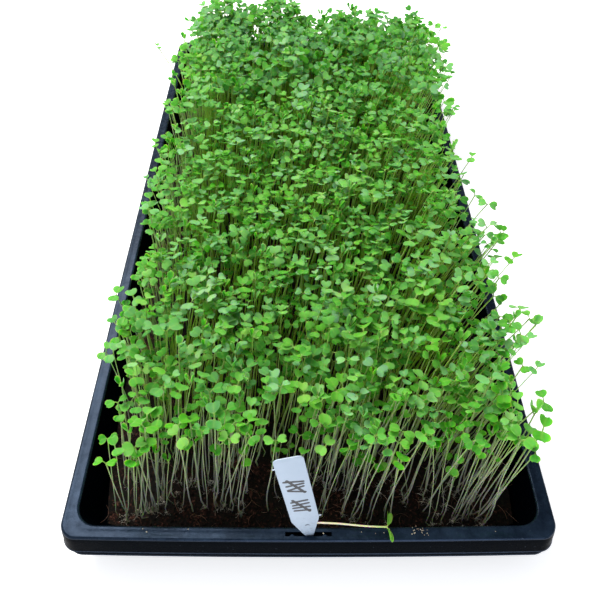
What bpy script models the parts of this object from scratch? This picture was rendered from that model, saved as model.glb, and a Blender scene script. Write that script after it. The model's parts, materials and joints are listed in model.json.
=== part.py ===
"""Microgreens tray: a perforated grow tray nested in a drip tray, a slab of coir, a crop of
broccoli sprouts and a plant label.

Metres, +Z up. The origin is the centre of the drip tray's underside, +X runs across the tray
and +Y along it, away from the end that holds the label.
"""

import math
import random

import bmesh
import bpy
from mathutils import Euler, Vector

# --- driving dimensions ---------------------------------------------------------------
GAP = 0.0003  # left between pieces that touch
PLASTIC = 0.0012  # wall of both trays

# Trays: the shallow kind of the nominal 280 x 543 mm propagation size.
RIM_HALF_X = 0.1400
RIM_HALF_Y = 0.2715
TRAY_DEPTH = 0.0330
NEST_STEP = 0.0075  # how far the grow tray stands above the drip tray
FLANGE = 0.0080  # width of the grow tray's flange, inner wall to outer edge
SKIRT = 0.0150  # height of the down-turned edge
WALL_SLOPE = 0.20  # wall moves in by this much for each unit down
SKIRT_SLOPE = 0.06  # skirt moves out by this much for each unit down
END_BOW = 0.0015  # the short ends bulge outwards by this much at their middle
CORNER_OUTER = 0.0120
CORNER_OPENING = 0.0115
CORNER_FLOOR = 0.0090
FILLET = 0.0040  # between floor and wall
EDGE_ROUND = 0.0016  # rounding at both edges of the flange
NEST_CLEARANCE = 0.0005  # between the two trays, sideways
CORNER_STEPS = 5
END_STEPS = 3

# Drainage holes in the floor of the grow tray, and the ribs that hold it off the drip tray.
HOLE_RADIUS = 0.0035
HOLE_SIDES = 6
HOLE_COLUMNS = 4
HOLE_ROWS = 8
HOLE_PITCH_X = 0.056
HOLE_PITCH_Y = 0.060
RIB_COUNT = 4
RIB_PITCH = 0.056
RIB_WIDTH = 0.005
RIB_LENGTH = 0.420

# Slot for a label in the near flange, with two small half-round lugs on its outer side.
SLOT_LENGTH = 0.0262
SLOT_WIDTH = 0.0023
SLOT_INSET = 0.0026  # from the nominal rim edge to the slot's middle
LUG_RADIUS = 0.0011
LUG_FROM_END = 0.0040
LUG_STEPS = 4

# Coir slab.
SOIL_DROP = 0.0220  # from the rim down to the coir
SOIL_ROUGHNESS = 0.0014
SOIL_CELLS_X = 10
SOIL_CELLS_Y = 20

# Plant label.
LABEL_WIDTH = 0.0154
LABEL_LENGTH = 0.0868
LABEL_THICKNESS = 0.0007
LABEL_TAPER = 0.0250
LABEL_TIP_WIDTH = 0.0016
LABEL_CORNER = 0.0030
LABEL_BELOW_RIM = 0.0066
LABEL_LEAN_BACK = math.radians(3.0)
LABEL_LEAN_SIDE = math.radians(7.7)
LABEL_YAW = math.radians(7.0)

# Crop: clumps on a grid, each holding all the sprouts that stand on its cell. The crop fans
# out and leans towards +X, so the grid is wider at the leaves than at the coir.
CLUMP_COLUMNS = 4
CLUMP_ROWS = 9
ROOTS_X = (-0.1100, 0.1050)
ROOTS_Y = (-0.2360, 0.2500)
LEAVES_X = (-0.1210, 0.1300)
LEAVES_Y = (-0.2300, 0.2680)
CANOPY_ABOVE_RIM = 0.0500
CANOPY_DEPTH = 0.0240  # from the highest leaves down to the bare stems
CANOPY_ROUGHNESS = 0.0045
CLUMP_WAIST = 0.0050  # stems stand this far inside the leaves above them
CLUMP_GRID = 4

# Single sprouts.
STEM_RADIUS = 0.00065
STEM_STEPS = 6
LEAF_REACH = 0.0085
LEAF_WIDTH = 0.0090
LEAF_THICKNESS = 0.0008
FRONT_COUNT = 9
FRONT_PITCH = 0.0230
FRONT_Y = -0.2475
FRONT_LEAN_BACK = 0.0060
FRONT_HEIGHT = 0.0740
FRONT_SPREAD = 0.0100  # how much the heights differ
RIGHT_ROOT_X = 0.1105
RIGHT_TIPS = (  # along the tray, sideways, above the rim
    (-0.2120, 0.1380, 0.0440),
    (-0.1545, 0.1425, 0.0460),
    (-0.0835, 0.1400, 0.0450),
    (0.0105, 0.1390, 0.0440),
    (0.1285, 0.1410, 0.0470),
    (0.2175, 0.1450, 0.0480),
)
LEFT_ROOT_X = -0.1165
LEFT_TIPS = (
    (-0.1335, -0.1265, 0.0440),
    (0.0300, -0.1265, 0.0420),
)
STRAY_ROOT = (-0.1180, 0.1640)
STRAY_TIP = (-0.1480, 0.1900, 0.0420)
FALLEN_START_X = 0.0110
FALLEN_LENGTH = 0.0370
FALLEN_INSET = 0.0058  # from the nominal rim edge
FALLEN_RISE = 0.0048  # of its head above the flange

RIM_Z = TRAY_DEPTH + NEST_STEP
SOIL_Z = RIM_Z - SOIL_DROP
END_EXTRA = RIM_HALF_Y - RIM_HALF_X
OPENING_HALF_X = RIM_HALF_X - FLANGE


# --- materials and objects ------------------------------------------------------------
def plain_material(name, red, green, blue, roughness):
    """A Principled material of one colour."""
    material = bpy.data.materials.new(name)
    material.use_nodes = True
    shader = material.node_tree.nodes["Principled BSDF"]
    shader.inputs["Base Color"].default_value = (red, green, blue, 1.0)
    shader.inputs["Roughness"].default_value = roughness
    shader.inputs["Metallic"].default_value = 0.0
    return material


def tray_material():
    return plain_material("black_polystyrene", 0.013, 0.015, 0.019, 0.38)


def coir_material():
    return plain_material("moist_coir", 0.022, 0.012, 0.008, 0.92)


def leaf_material():
    return plain_material("seed_leaf_green", 0.120, 0.300, 0.045, 0.50)


def stem_material():
    return plain_material("pale_stem_green", 0.420, 0.520, 0.270, 0.45)


def label_material():
    return plain_material("white_polypropylene", 0.780, 0.820, 0.860, 0.40)


def new_object(name, bm, *materials):
    """Turns the bmesh into an object in the scene, with its faces pointing out."""
    bmesh.ops.recalc_face_normals(bm, faces=bm.faces)
    mesh = bpy.data.meshes.new(name)
    bm.to_mesh(mesh)
    bm.free()
    for material in materials:
        mesh.materials.append(material)
    obj = bpy.data.objects.new(name, mesh)
    bpy.context.scene.collection.objects.link(obj)
    return obj


def cutter(name, bm):
    """An object that only shapes another one."""
    obj = new_object(name, bm)
    obj.hide_render = True
    obj.display_type = "WIRE"
    return obj


def boolean(obj, other, operation):
    """Adds an exact Boolean of the other object."""
    modifier = obj.modifiers.new(operation.lower(), "BOOLEAN")
    modifier.operation = operation
    modifier.object = other
    modifier.solver = "EXACT"


# --- trays ----------------------------------------------------------------------------
def rounded_ring(bm, half_x, corner, z):
    """Vertices of a rounded rectangle at height z, anticlockwise, whose ends bow outwards."""
    half_y = half_x + END_EXTRA
    straight = half_x - corner
    points = []
    for turn, (side_x, side_y) in enumerate(((1, 1), (-1, 1), (-1, -1), (1, -1))):
        centre_x = side_x * straight
        centre_y = side_y * (half_y - corner)
        for step in range(CORNER_STEPS + 1):
            angle = math.pi / 2 * (turn + step / CORNER_STEPS)
            points.append((centre_x + corner * math.cos(angle), centre_y + corner * math.sin(angle)))
        if side_x == side_y:
            for step in range(1, END_STEPS + 1):
                across = 1 - 2 * step / (END_STEPS + 1)
                points.append((side_x * straight * across, side_y * half_y))
    bowed = []
    for x, y in points:
        share = max(0.0, 1 - (x / half_x) ** 2)
        bowed.append(bm.verts.new((x, y + math.copysign(END_BOW * share, y), z)))
    return bowed


def tray_profile(base_z, rim_half_x, opening_half_x):
    """(half width, corner radius, height) of each ring, from the floor out to the skirt's edge."""
    top = base_z + TRAY_DEPTH
    floor_half_x = opening_half_x - (TRAY_DEPTH - FILLET) * WALL_SLOPE
    edge = EDGE_ROUND
    return (
        (floor_half_x - FILLET, CORNER_FLOOR, base_z + PLASTIC),
        (floor_half_x - FILLET * 0.3, CORNER_FLOOR, base_z + PLASTIC + FILLET * 0.3),
        (floor_half_x, CORNER_FLOOR, base_z + PLASTIC + FILLET),
        (opening_half_x, CORNER_OPENING, top - edge),
        (opening_half_x + edge * 0.3, CORNER_OPENING, top - edge * 0.3),
        (opening_half_x + edge, CORNER_OPENING, top),
        (rim_half_x - edge, CORNER_OUTER - edge, top),
        (rim_half_x - edge * 0.3, CORNER_OUTER - edge * 0.3, top - edge * 0.3),
        (rim_half_x, CORNER_OUTER, top - edge),
        (rim_half_x + SKIRT * SKIRT_SLOPE, CORNER_OUTER, top - SKIRT),
    )


def tray(name, base_z, rim_half_x, opening_half_x):
    """A thin-walled open tray: one sheet from floor to skirt, given its wall by a Solidify."""
    bm = bmesh.new()
    rings = [
        rounded_ring(bm, half_x, corner, z)
        for half_x, corner, z in tray_profile(base_z, rim_half_x, opening_half_x)
    ]
    bm.faces.new(rings[0])
    for inner, outer in zip(rings, rings[1:]):
        for i in range(len(inner)):
            j = (i + 1) % len(inner)
            bm.faces.new((inner[i], outer[i], outer[j], inner[j]))
    mesh = bpy.data.meshes.new(name)
    for face in bm.faces:
        face.normal_update()
    bm.to_mesh(mesh)
    bm.free()
    mesh.materials.append(tray_material())
    obj = bpy.data.objects.new(name, mesh)
    bpy.context.scene.collection.objects.link(obj)
    wall = obj.modifiers.new("wall", "SOLIDIFY")
    wall.thickness = PLASTIC
    wall.offset = -1.0
    wall.use_even_offset = True
    return obj


def hole_cutter():
    """One prism for each drainage hole in the grow tray's floor."""
    bm = bmesh.new()
    for column in range(HOLE_COLUMNS):
        for row in range(HOLE_ROWS):
            x = (column - (HOLE_COLUMNS - 1) / 2) * HOLE_PITCH_X
            y = (row - (HOLE_ROWS - 1) / 2) * HOLE_PITCH_Y
            made = bmesh.ops.create_cone(
                bm,
                cap_ends=True,
                segments=HOLE_SIDES,
                radius1=HOLE_RADIUS,
                radius2=HOLE_RADIUS,
                depth=4 * PLASTIC,
            )
            bmesh.ops.translate(bm, verts=made["verts"], vec=(x, y, NEST_STEP + PLASTIC / 2))
    return cutter("drainage_hole_cutter", bm)


def slot_outline():
    """Outline of the label slot: a rectangle with two half-round lugs on its outer long side."""
    half_x = SLOT_LENGTH / 2
    half_y = SLOT_WIDTH / 2
    points = [(-half_x, half_y), (-half_x, -half_y)]
    for lug_x in (-half_x + LUG_FROM_END, half_x - LUG_FROM_END):
        for step in range(LUG_STEPS + 1):
            angle = math.pi * (1 - step / LUG_STEPS)
            points.append((lug_x + LUG_RADIUS * math.cos(angle), -half_y + LUG_RADIUS * math.sin(angle)))
    points += [(half_x, -half_y), (half_x, half_y)]
    return points


def slot_cutter():
    """The slot's outline as a block that passes right through the flange."""
    bm = bmesh.new()
    centre_y = -RIM_HALF_Y + SLOT_INSET
    outline = [bm.verts.new((x, centre_y + y, RIM_Z - 2 * PLASTIC)) for x, y in slot_outline()]
    face = bm.faces.new(outline)
    grown = bmesh.ops.extrude_face_region(bm, geom=[face])
    top = [item for item in grown["geom"] if isinstance(item, bmesh.types.BMVert)]
    bmesh.ops.translate(bm, verts=top, vec=(0, 0, 3 * PLASTIC))
    return cutter("label_slot_cutter", bm)


def rib_block():
    """The ribs that stand on the drip tray's floor."""
    bm = bmesh.new()
    top = NEST_STEP - GAP
    for index in range(RIB_COUNT):
        made = bmesh.ops.create_cube(bm, size=1.0)
        bmesh.ops.scale(bm, verts=made["verts"], vec=(RIB_WIDTH, RIB_LENGTH, top - PLASTIC / 2))
        x = (index - (RIB_COUNT - 1) / 2) * RIB_PITCH
        bmesh.ops.translate(bm, verts=made["verts"], vec=(x, 0, (top + PLASTIC / 2) / 2))
    return cutter("rib_block", bm)


def grow_tray():
    """The perforated tray that holds the coir, with the label slot in its near flange."""
    obj = tray("grow_tray", NEST_STEP, RIM_HALF_X, OPENING_HALF_X)
    boolean(obj, hole_cutter(), "DIFFERENCE")
    boolean(obj, slot_cutter(), "DIFFERENCE")


def drip_tray():
    """The closed tray under the grow tray. It is wider inside, and its skirt is inside the other's."""
    wall_outside = OPENING_HALF_X - NEST_STEP * WALL_SLOPE + PLASTIC
    skirt_inside = RIM_HALF_X + NEST_STEP * SKIRT_SLOPE - PLASTIC
    obj = tray("drip_tray", 0.0, skirt_inside - NEST_CLEARANCE, wall_outside + NEST_CLEARANCE)
    boolean(obj, rib_block(), "UNION")


# --- coir and label -------------------------------------------------------------------
def coir_bed():
    """The slab of growing medium: level below, rough on top, its sides along the tray's walls."""
    draw = random.Random(5)
    bottom = NEST_STEP + PLASTIC + GAP
    top_half_x = OPENING_HALF_X - (SOIL_DROP + 2 * SOIL_ROUGHNESS) * WALL_SLOPE - GAP * 2
    bottom_half_x = OPENING_HALF_X - TRAY_DEPTH * WALL_SLOPE - FILLET
    bm = bmesh.new()
    bmesh.ops.create_grid(bm, x_segments=SOIL_CELLS_X, y_segments=SOIL_CELLS_Y, size=1.0)
    for vert in bm.verts:
        vert.co.x *= top_half_x
        vert.co.y *= top_half_x + END_EXTRA
        corner = max(0.0, abs(vert.co.x) / top_half_x + abs(vert.co.y) / (top_half_x + END_EXTRA) - 1)
        vert.co.x -= math.copysign(CORNER_FLOOR * 0.4 * corner**8, vert.co.x)
        vert.co.y -= math.copysign(CORNER_FLOOR * 0.4 * corner**8, vert.co.y)
        vert.co.z = SOIL_Z + draw.uniform(-SOIL_ROUGHNESS, SOIL_ROUGHNESS)
    edges = [edge for edge in bm.edges if edge.is_boundary]
    sides = bmesh.ops.extrude_edge_only(bm, edges=edges)
    lower = [item for item in sides["geom"] if isinstance(item, bmesh.types.BMVert)]
    for vert in lower:
        vert.co.x *= bottom_half_x / top_half_x
        vert.co.y *= (bottom_half_x + END_EXTRA) / (top_half_x + END_EXTRA)
        vert.co.z = bottom
    rim = [item for item in sides["geom"] if isinstance(item, bmesh.types.BMEdge)]
    bmesh.ops.contextual_create(bm, geom=rim)
    new_object("coir_bed", bm, coir_material())


def label_outline():
    """Half widths and heights of the label, from its tip up one side and down the other."""
    half = LABEL_WIDTH / 2
    right = [(LABEL_TIP_WIDTH / 2, 0.0), (half, LABEL_TAPER)]
    steps = 4
    for step in range(steps + 1):
        angle = math.pi / 2 * step / steps
        across = half - LABEL_CORNER + LABEL_CORNER * math.cos(angle)
        along = LABEL_LENGTH - LABEL_CORNER + LABEL_CORNER * math.sin(angle)
        right.append((across, along))
    return right + [(-across, along) for across, along in reversed(right)]


def plant_label():
    """The pointed label, standing in the slot. Its origin is the point where it passes the rim."""
    bm = bmesh.new()
    back = LABEL_THICKNESS / 2
    front = [bm.verts.new((x, back, z - LABEL_BELOW_RIM)) for x, z in label_outline()]
    face = bm.faces.new(front)
    grown = bmesh.ops.extrude_face_region(bm, geom=[face])
    moved = [item for item in grown["geom"] if isinstance(item, bmesh.types.BMVert)]
    bmesh.ops.translate(bm, verts=moved, vec=(0, -LABEL_THICKNESS, 0))
    obj = new_object("plant_label", bm, label_material())
    obj.location = (0.0006, -RIM_HALF_Y + SLOT_INSET, RIM_Z)
    obj.rotation_euler = Euler((-LABEL_LEAN_BACK, -LABEL_LEAN_SIDE, LABEL_YAW))


# --- crop -----------------------------------------------------------------------------
def share_of(span, share):
    """The point at this share of the way through a span."""
    return span[0] + (span[1] - span[0]) * share


def clump(row, column, draw):
    """All the sprouts of one cell as one solid: a waist of stems under a rough block of leaves."""
    share_x = (column + 0.5) / CLUMP_COLUMNS
    share_y = (row + 0.5) / CLUMP_ROWS
    root = Vector((share_of(ROOTS_X, share_x), share_of(ROOTS_Y, share_y), 0))
    head = Vector((share_of(LEAVES_X, share_x), share_of(LEAVES_Y, share_y), 0))
    half_x = (LEAVES_X[1] - LEAVES_X[0]) / CLUMP_COLUMNS / 2 - GAP / 2
    half_y = (LEAVES_Y[1] - LEAVES_Y[0]) / CLUMP_ROWS / 2 - GAP / 2
    soil_top = SOIL_Z + SOIL_ROUGHNESS + GAP
    under_leaves = RIM_Z + CANOPY_ABOVE_RIM - CANOPY_DEPTH
    bm = bmesh.new()
    bmesh.ops.create_grid(bm, x_segments=CLUMP_GRID, y_segments=CLUMP_GRID, size=1.0)
    for vert in bm.verts:
        height = CANOPY_ABOVE_RIM + draw.uniform(-CANOPY_ROUGHNESS, CANOPY_ROUGHNESS)
        vert.co = Vector((head.x + vert.co.x * half_x, head.y + vert.co.y * half_y, RIM_Z + height))
    rings = (  # height, share of the way from root to head, distance inside the leaves
        (under_leaves + CLUMP_WAIST, 1.0, 0.0),
        (under_leaves - CLUMP_WAIST, 0.65, CLUMP_WAIST),
        (soil_top, 0.0, CLUMP_WAIST),
    )
    edges = [edge for edge in bm.edges if edge.is_boundary]
    centre = head
    inside = 0.0
    for z, lean, waist in rings:
        grown = bmesh.ops.extrude_edge_only(bm, edges=edges)
        edges = [item for item in grown["geom"] if isinstance(item, bmesh.types.BMEdge)]
        next_centre = root.lerp(head, lean)
        narrow_x = (half_x - waist) / (half_x - inside)
        narrow_y = (half_y - waist) / (half_y - inside)
        for vert in (item for item in grown["geom"] if isinstance(item, bmesh.types.BMVert)):
            vert.co.x = next_centre.x + (vert.co.x - centre.x) * narrow_x
            vert.co.y = next_centre.y + (vert.co.y - centre.y) * narrow_y
            vert.co.z = z
        centre = next_centre
        inside = waist
    bmesh.ops.contextual_create(bm, geom=edges)
    new_object(f"sprout_clump_r{row + 1}_c{column + 1}", bm, leaf_material())


def clumps():
    """The whole crop as a grid of clumps."""
    for row in range(CLUMP_ROWS):
        for column in range(CLUMP_COLUMNS):
            clump(row, column, random.Random(100 * row + column))


def push_face(bm, face, sections):
    """Extrudes a four-cornered face through sections of (centre, half across, half up)."""
    start = face.calc_center_median()
    across_0, up_0 = sections[0][1], sections[0][2]
    signs = []
    for vert in face.verts:
        offset = vert.co - start
        signs.append((math.copysign(1, offset.dot(across_0)), math.copysign(1, offset.dot(up_0))))
    for centre, across, up in sections:
        grown = bmesh.ops.extrude_discrete_faces(bm, faces=[face])
        face = grown["faces"][0]
        for vert, (side, rise) in zip(face.verts, signs):
            vert.co = centre + across * side + up * rise
    return face


def seed_leaf(bm, face, outwards, upwards):
    """Grows a stalk and a flat round blade out of one side face at the top of a stem."""
    across = upwards.cross(outwards).normalized()
    root = face.calc_center_median()
    blade = upwards * (LEAF_THICKNESS / 2)
    outline = ((0.22, 0.07, 0.06), (0.45, 0.38, 0.12), (0.75, 0.50, 0.18), (1.0, 0.30, 0.20))
    sections = []
    for reach, half_width, rise in outline:
        centre = root + (outwards * reach + upwards * rise * 0.5) * LEAF_REACH
        sections.append((centre, across * (half_width * LEAF_WIDTH), blade))
    push_face(bm, face, sections)


def single_sprout(name, path, leaf_direction, leaf_up):
    """One sprout as it grew: a square-cut stem along the path, with two seed leaves at its top."""
    bm = bmesh.new()
    side = leaf_direction.normalized()
    other = (path[1] - path[0]).cross(side).normalized()
    across = side * STEM_RADIUS
    along = other * STEM_RADIUS
    corners = ((-1, -1), (1, -1), (1, 1), (-1, 1))
    base = [bm.verts.new(path[0] + across * a + along * b) for a, b in corners]
    face = push_face(bm, bm.faces.new(base), [(point, across, along) for point in path[1:]])
    bm.faces.new(list(reversed(base)))
    neighbours = {near for edge in face.edges for near in edge.link_faces} - {face}
    for direction in (leaf_direction, -leaf_direction):
        flat = direction.normalized()
        start = max(neighbours, key=lambda near: (near.calc_center_median() - path[-1]).dot(flat))
        neighbours.discard(start)
        seed_leaf(bm, start, flat, leaf_up)
    new_object(name, bm, stem_material(), leaf_material())


def stem_path(root, tip, bend):
    """Points of a stem. It leans late if bend is over 1, and early if it is under 1."""
    points = []
    for step in range(STEM_STEPS + 1):
        t = step / STEM_STEPS
        point = root.lerp(tip, t)
        sideways = t**bend - t
        point.x += (tip.x - root.x) * sideways
        point.y += (tip.y - root.y) * sideways
        points.append(point)
    top = points[-1]
    points.append(top + (points[-1] - points[-2]).normalized() * (2.5 * STEM_RADIUS))
    return points


def edge_sprouts():
    """The sprouts that stand apart from the crowd, along three edges of the crop."""
    ground = SOIL_Z + SOIL_ROUGHNESS + GAP
    up = Vector((0, 0, 1))
    draw = random.Random(21)
    for index in range(FRONT_COUNT):
        x = (index - (FRONT_COUNT - 1) / 2) * FRONT_PITCH
        share = (x - ROOTS_X[0]) / (ROOTS_X[1] - ROOTS_X[0])
        height = FRONT_HEIGHT + draw.uniform(-FRONT_SPREAD, FRONT_SPREAD)
        root = Vector((x, FRONT_Y, ground))
        tip = Vector((share_of(LEAVES_X, share), FRONT_Y + FRONT_LEAN_BACK, ground + height))
        single_sprout(f"front_sprout_{index + 1}", stem_path(root, tip, 1.4), Vector((1, 0, 0)), up)
    for index, (y, x, height) in enumerate(RIGHT_TIPS):
        root = Vector((RIGHT_ROOT_X, y, ground))
        tip = Vector((x, y, RIM_Z + height))
        single_sprout(f"right_sprout_{index + 1}", stem_path(root, tip, 0.8), Vector((0, 1, 0)), up)
    for index, (y, x, height) in enumerate(LEFT_TIPS):
        root = Vector((LEFT_ROOT_X, y, ground))
        tip = Vector((x, y, RIM_Z + height))
        single_sprout(f"left_sprout_{index + 1}", stem_path(root, tip, 1.2), Vector((0, 1, 0)), up)


def stray_sprout():
    """The sprout that leans far out over the left rim."""
    root = Vector((STRAY_ROOT[0], STRAY_ROOT[1], SOIL_Z + SOIL_ROUGHNESS + GAP))
    tip = Vector((STRAY_TIP[0], STRAY_TIP[1], RIM_Z + STRAY_TIP[2]))
    direction = Vector((0.55, -1, 0))
    single_sprout("stray_sprout", stem_path(root, tip, 2.0), direction, Vector((0, 0, 1)))


def fallen_sprout():
    """A pulled sprout that lies along the near flange, its head propped up on one seed leaf."""
    start = Vector((FALLEN_START_X, -RIM_HALF_Y + FALLEN_INSET, RIM_Z + GAP + STEM_RADIUS))
    path = []
    for step in range(STEM_STEPS + 1):
        t = step / STEM_STEPS
        path.append(start + Vector((FALLEN_LENGTH * t, -0.0010 * t, FALLEN_RISE * t * t)))
    heading = (path[-1] - path[-2]).normalized()
    path.append(path[-1] + heading * (2.5 * STEM_RADIUS))
    single_sprout("fallen_sprout", path, Vector((0, 1, 0)), heading)


def main():
    for obj in list(bpy.data.objects):
        bpy.data.objects.remove(obj)
    drip_tray()
    grow_tray()
    coir_bed()
    plant_label()
    clumps()
    edge_sprouts()
    stray_sprout()
    fallen_sprout()


main()
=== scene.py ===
"""Visible model of a microgreens tray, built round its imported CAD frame.

A perforated grow tray stands nested in a drip tray. It holds a slab of moist coir, a crop of
broccoli sprouts that leans away from the near end, and a plant label in the rim's slot.
Everything is in metres in the CAD model's own frame: +X across the tray, +Y along it away from
the label, +Z up, and the origin under the middle of the drip tray.
"""

import json
import logging
import math
from dataclasses import dataclass, replace
from enum import Enum

import bmesh
import bpy
import numpy as np
from bmesh.types import BMEdge, BMesh, BMVert
from bpy.types import Material, Mesh, NodeSocket, NodeTree, Object
from mathutils import Euler, Matrix, Vector
from mathutils.bvhtree import BVHTree

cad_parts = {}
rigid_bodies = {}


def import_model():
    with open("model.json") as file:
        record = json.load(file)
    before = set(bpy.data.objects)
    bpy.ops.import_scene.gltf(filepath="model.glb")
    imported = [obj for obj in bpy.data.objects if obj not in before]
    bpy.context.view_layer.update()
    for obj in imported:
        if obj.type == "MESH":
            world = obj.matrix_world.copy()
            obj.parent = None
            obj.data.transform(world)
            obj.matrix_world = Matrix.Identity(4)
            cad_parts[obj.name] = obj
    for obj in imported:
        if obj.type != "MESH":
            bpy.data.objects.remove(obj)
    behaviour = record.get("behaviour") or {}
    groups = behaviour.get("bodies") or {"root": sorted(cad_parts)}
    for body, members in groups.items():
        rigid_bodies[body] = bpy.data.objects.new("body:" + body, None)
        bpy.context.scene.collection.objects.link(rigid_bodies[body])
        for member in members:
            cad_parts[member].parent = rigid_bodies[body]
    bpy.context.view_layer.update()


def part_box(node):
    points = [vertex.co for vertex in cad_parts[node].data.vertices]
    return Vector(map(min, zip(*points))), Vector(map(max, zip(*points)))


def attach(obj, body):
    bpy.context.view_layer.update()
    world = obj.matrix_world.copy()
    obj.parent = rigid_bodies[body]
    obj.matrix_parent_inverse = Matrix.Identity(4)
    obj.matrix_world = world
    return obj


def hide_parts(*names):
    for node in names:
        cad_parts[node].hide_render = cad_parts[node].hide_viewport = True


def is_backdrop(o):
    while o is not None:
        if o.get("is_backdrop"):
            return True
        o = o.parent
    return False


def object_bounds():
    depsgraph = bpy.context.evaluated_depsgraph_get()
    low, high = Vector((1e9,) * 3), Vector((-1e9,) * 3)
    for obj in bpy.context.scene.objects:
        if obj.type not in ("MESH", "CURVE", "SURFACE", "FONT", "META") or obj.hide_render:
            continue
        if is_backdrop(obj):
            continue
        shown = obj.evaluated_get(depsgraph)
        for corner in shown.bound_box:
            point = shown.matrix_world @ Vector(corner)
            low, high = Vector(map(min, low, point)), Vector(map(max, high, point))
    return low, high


LOG = logging.getLogger("microgreens_tray")
BODY = "root"
MM = 0.001
FULL_TURN = 6.28

# The trays' driving dimensions.
RIM_HALF_X = 0.1400
END_EXTRA = 0.1315  # how much longer than wide half a tray is
FLANGE = 0.0080
DEPTH = 0.0330
PLASTIC = 0.0012
GAP = 0.0003
PLAY = 0.0005  # between the nested trays, besides their plastic
WALL_SLOPE = 0.20
SKIRT_SLOPE = 0.06
NEST = 0.0075  # how far the grow tray stands above the drip tray
SOIL_DROP = 0.0220  # from the rim down to the coir
SLAB_DROP = 0.0248  # from the rim down to where the slab is as wide as the wall lets it be
SLOT_INSET = 0.0026  # from the rim's edge in to the middle of the label's slot

Colour = tuple[float, float, float, float]
Point = tuple[float, float, float]
Pair = tuple[float, float]
Stops = tuple[tuple[float, str | float], ...]


# --- shared helpers -------------------------------------------------------------------
def linear(hex_colour: str) -> Colour:
    """Turns an sRGB colour into the linear one that shaders use.

    Args:
        hex_colour: the colour as "#rrggbb".

    Returns:
        Red, green, blue and an alpha of one.
    """
    channels = [int(hex_colour[i : i + 2], 16) / 255 for i in (1, 3, 5)]
    red, green, blue = [c / 12.92 if c <= 0.04045 else ((c + 0.055) / 1.055) ** 2.4 for c in channels]
    return red, green, blue, 1.0


def arc(end: float, steps: int) -> list[tuple[float, float]]:
    """The sine, and one minus the cosine, at even steps from zero to an angle."""
    angles = [end * step / steps for step in range(steps + 1)]
    return [(math.sin(angle), 1 - math.cos(angle)) for angle in angles]


def mesh_from(bm: BMesh, name: str) -> Mesh:
    """Turns what was built into a mesh."""
    mesh = bpy.data.meshes.new(name)
    bm.to_mesh(mesh)
    bm.free()
    return mesh


def outwards_mesh(bm: BMesh, name: str) -> Mesh:
    """Turns what was built into a mesh whose faces all point out."""
    bmesh.ops.recalc_face_normals(bm, faces=bm.faces)
    return mesh_from(bm, name)


def add_plate(bm: BMesh, corners: list[Point], shift: Point) -> list[BMVert]:
    """Adds a closed plate.

    Args:
        bm: the mesh that gets it.
        corners: the corners of its first face.
        shift: the way from there to its other face.

    Returns:
        The plate's points.
    """
    lower = [bm.verts.new(corner) for corner in corners]
    grown = bmesh.ops.extrude_face_region(bm, geom=[bm.faces.new(lower)])
    moved = [item for item in grown["geom"] if isinstance(item, BMVert)]
    bmesh.ops.translate(bm, verts=moved, vec=shift)
    return lower + moved


def skin_rings(bm: BMesh, rings: list[list[BMVert]]) -> None:
    """Joins rings of equal length into one closed tube whose faces point out.

    Args:
        bm: the mesh that they are in.
        rings: the rings' points, from one end to the other.
    """
    made = []
    for inner, outer in zip(rings, rings[1:]):
        for i in range(len(inner)):
            j = (i + 1) % len(inner)
            made.append(bm.faces.new((inner[i], inner[j], outer[j], outer[i])))
    made.append(bm.faces.new(list(reversed(rings[0]))))
    made.append(bm.faces.new(rings[-1]))
    for face in made:
        face.smooth = True


def thread_mesh(name: str, line: list[Vector], radius: float, taper: float = 0.6) -> Mesh:
    """A closed thin tube of three sides along a line.

    Args:
        name: the mesh's name.
        line: the points it follows.
        radius: its radius at the start.
        taper: its radius at the end as a share of the start's.

    Returns:
        The mesh, with the attribute along from 0 to 1.
    """
    bm = bmesh.new()
    layer = bm.verts.layers.float.new("along")
    last = len(line) - 1
    rings = []
    for index, point in enumerate(line):
        tangent = (line[min(index + 1, last)] - line[max(index - 1, 0)]).normalized()
        side = tangent.orthogonal().normalized()
        other = tangent.cross(side)
        thick = radius * (1 + (taper - 1) * (index / last))
        ring = []
        for corner in range(3):
            angle = 2 * math.pi * corner / 3
            vert = bm.verts.new(point + side * (thick * math.cos(angle)) + other * (thick * math.sin(angle)))
            vert[layer] = index / last
            ring.append(vert)
        rings.append(ring)
    skin_rings(bm, rings)
    return mesh_from(bm, name)


def new_object(name: str, mesh: Mesh) -> Object:
    """Puts a mesh into the scene as an object at the origin."""
    obj = bpy.data.objects.new(name, mesh)
    bpy.context.scene.collection.objects.link(obj)
    return obj


def triangles(obj: Object) -> int:
    """How many triangles an object's faces come to."""
    return sum(len(face.vertices) - 2 for face in obj.data.polygons)


def place_piece(obj: Object, slot: str, *nodes: str) -> None:
    """Ties a finished piece to the CAD body.

    Args:
        obj: the piece.
        slot: not used.
        nodes: the CAD nodes that it stands for.
    """
    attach(obj, BODY)
    if nodes:
        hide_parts(*nodes)
    LOG.info("%s: %d triangles, stands for %d CAD nodes", obj.name, triangles(obj), len(nodes))


def smooth_between(mesh: Mesh, sharp: float) -> None:
    """Shades a mesh smooth except at edges of more than so many degrees."""
    mesh.shade_smooth()
    mesh.set_sharp_from_angle(angle=math.radians(sharp))


def drop_field(mesh: Mesh, name: str) -> None:
    """Removes an attribute that was only needed while the mesh was made."""
    layer = mesh.attributes.get(name)
    if layer is not None:
        mesh.attributes.remove(layer)


def even_sizes(draw: np.random.Generator, low: float, high: float, count: int) -> np.ndarray:
    """Draws a scale for each copy, the same along all three axes."""
    return np.repeat(draw.uniform(low, high, (count, 1)), 3, 1)


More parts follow.
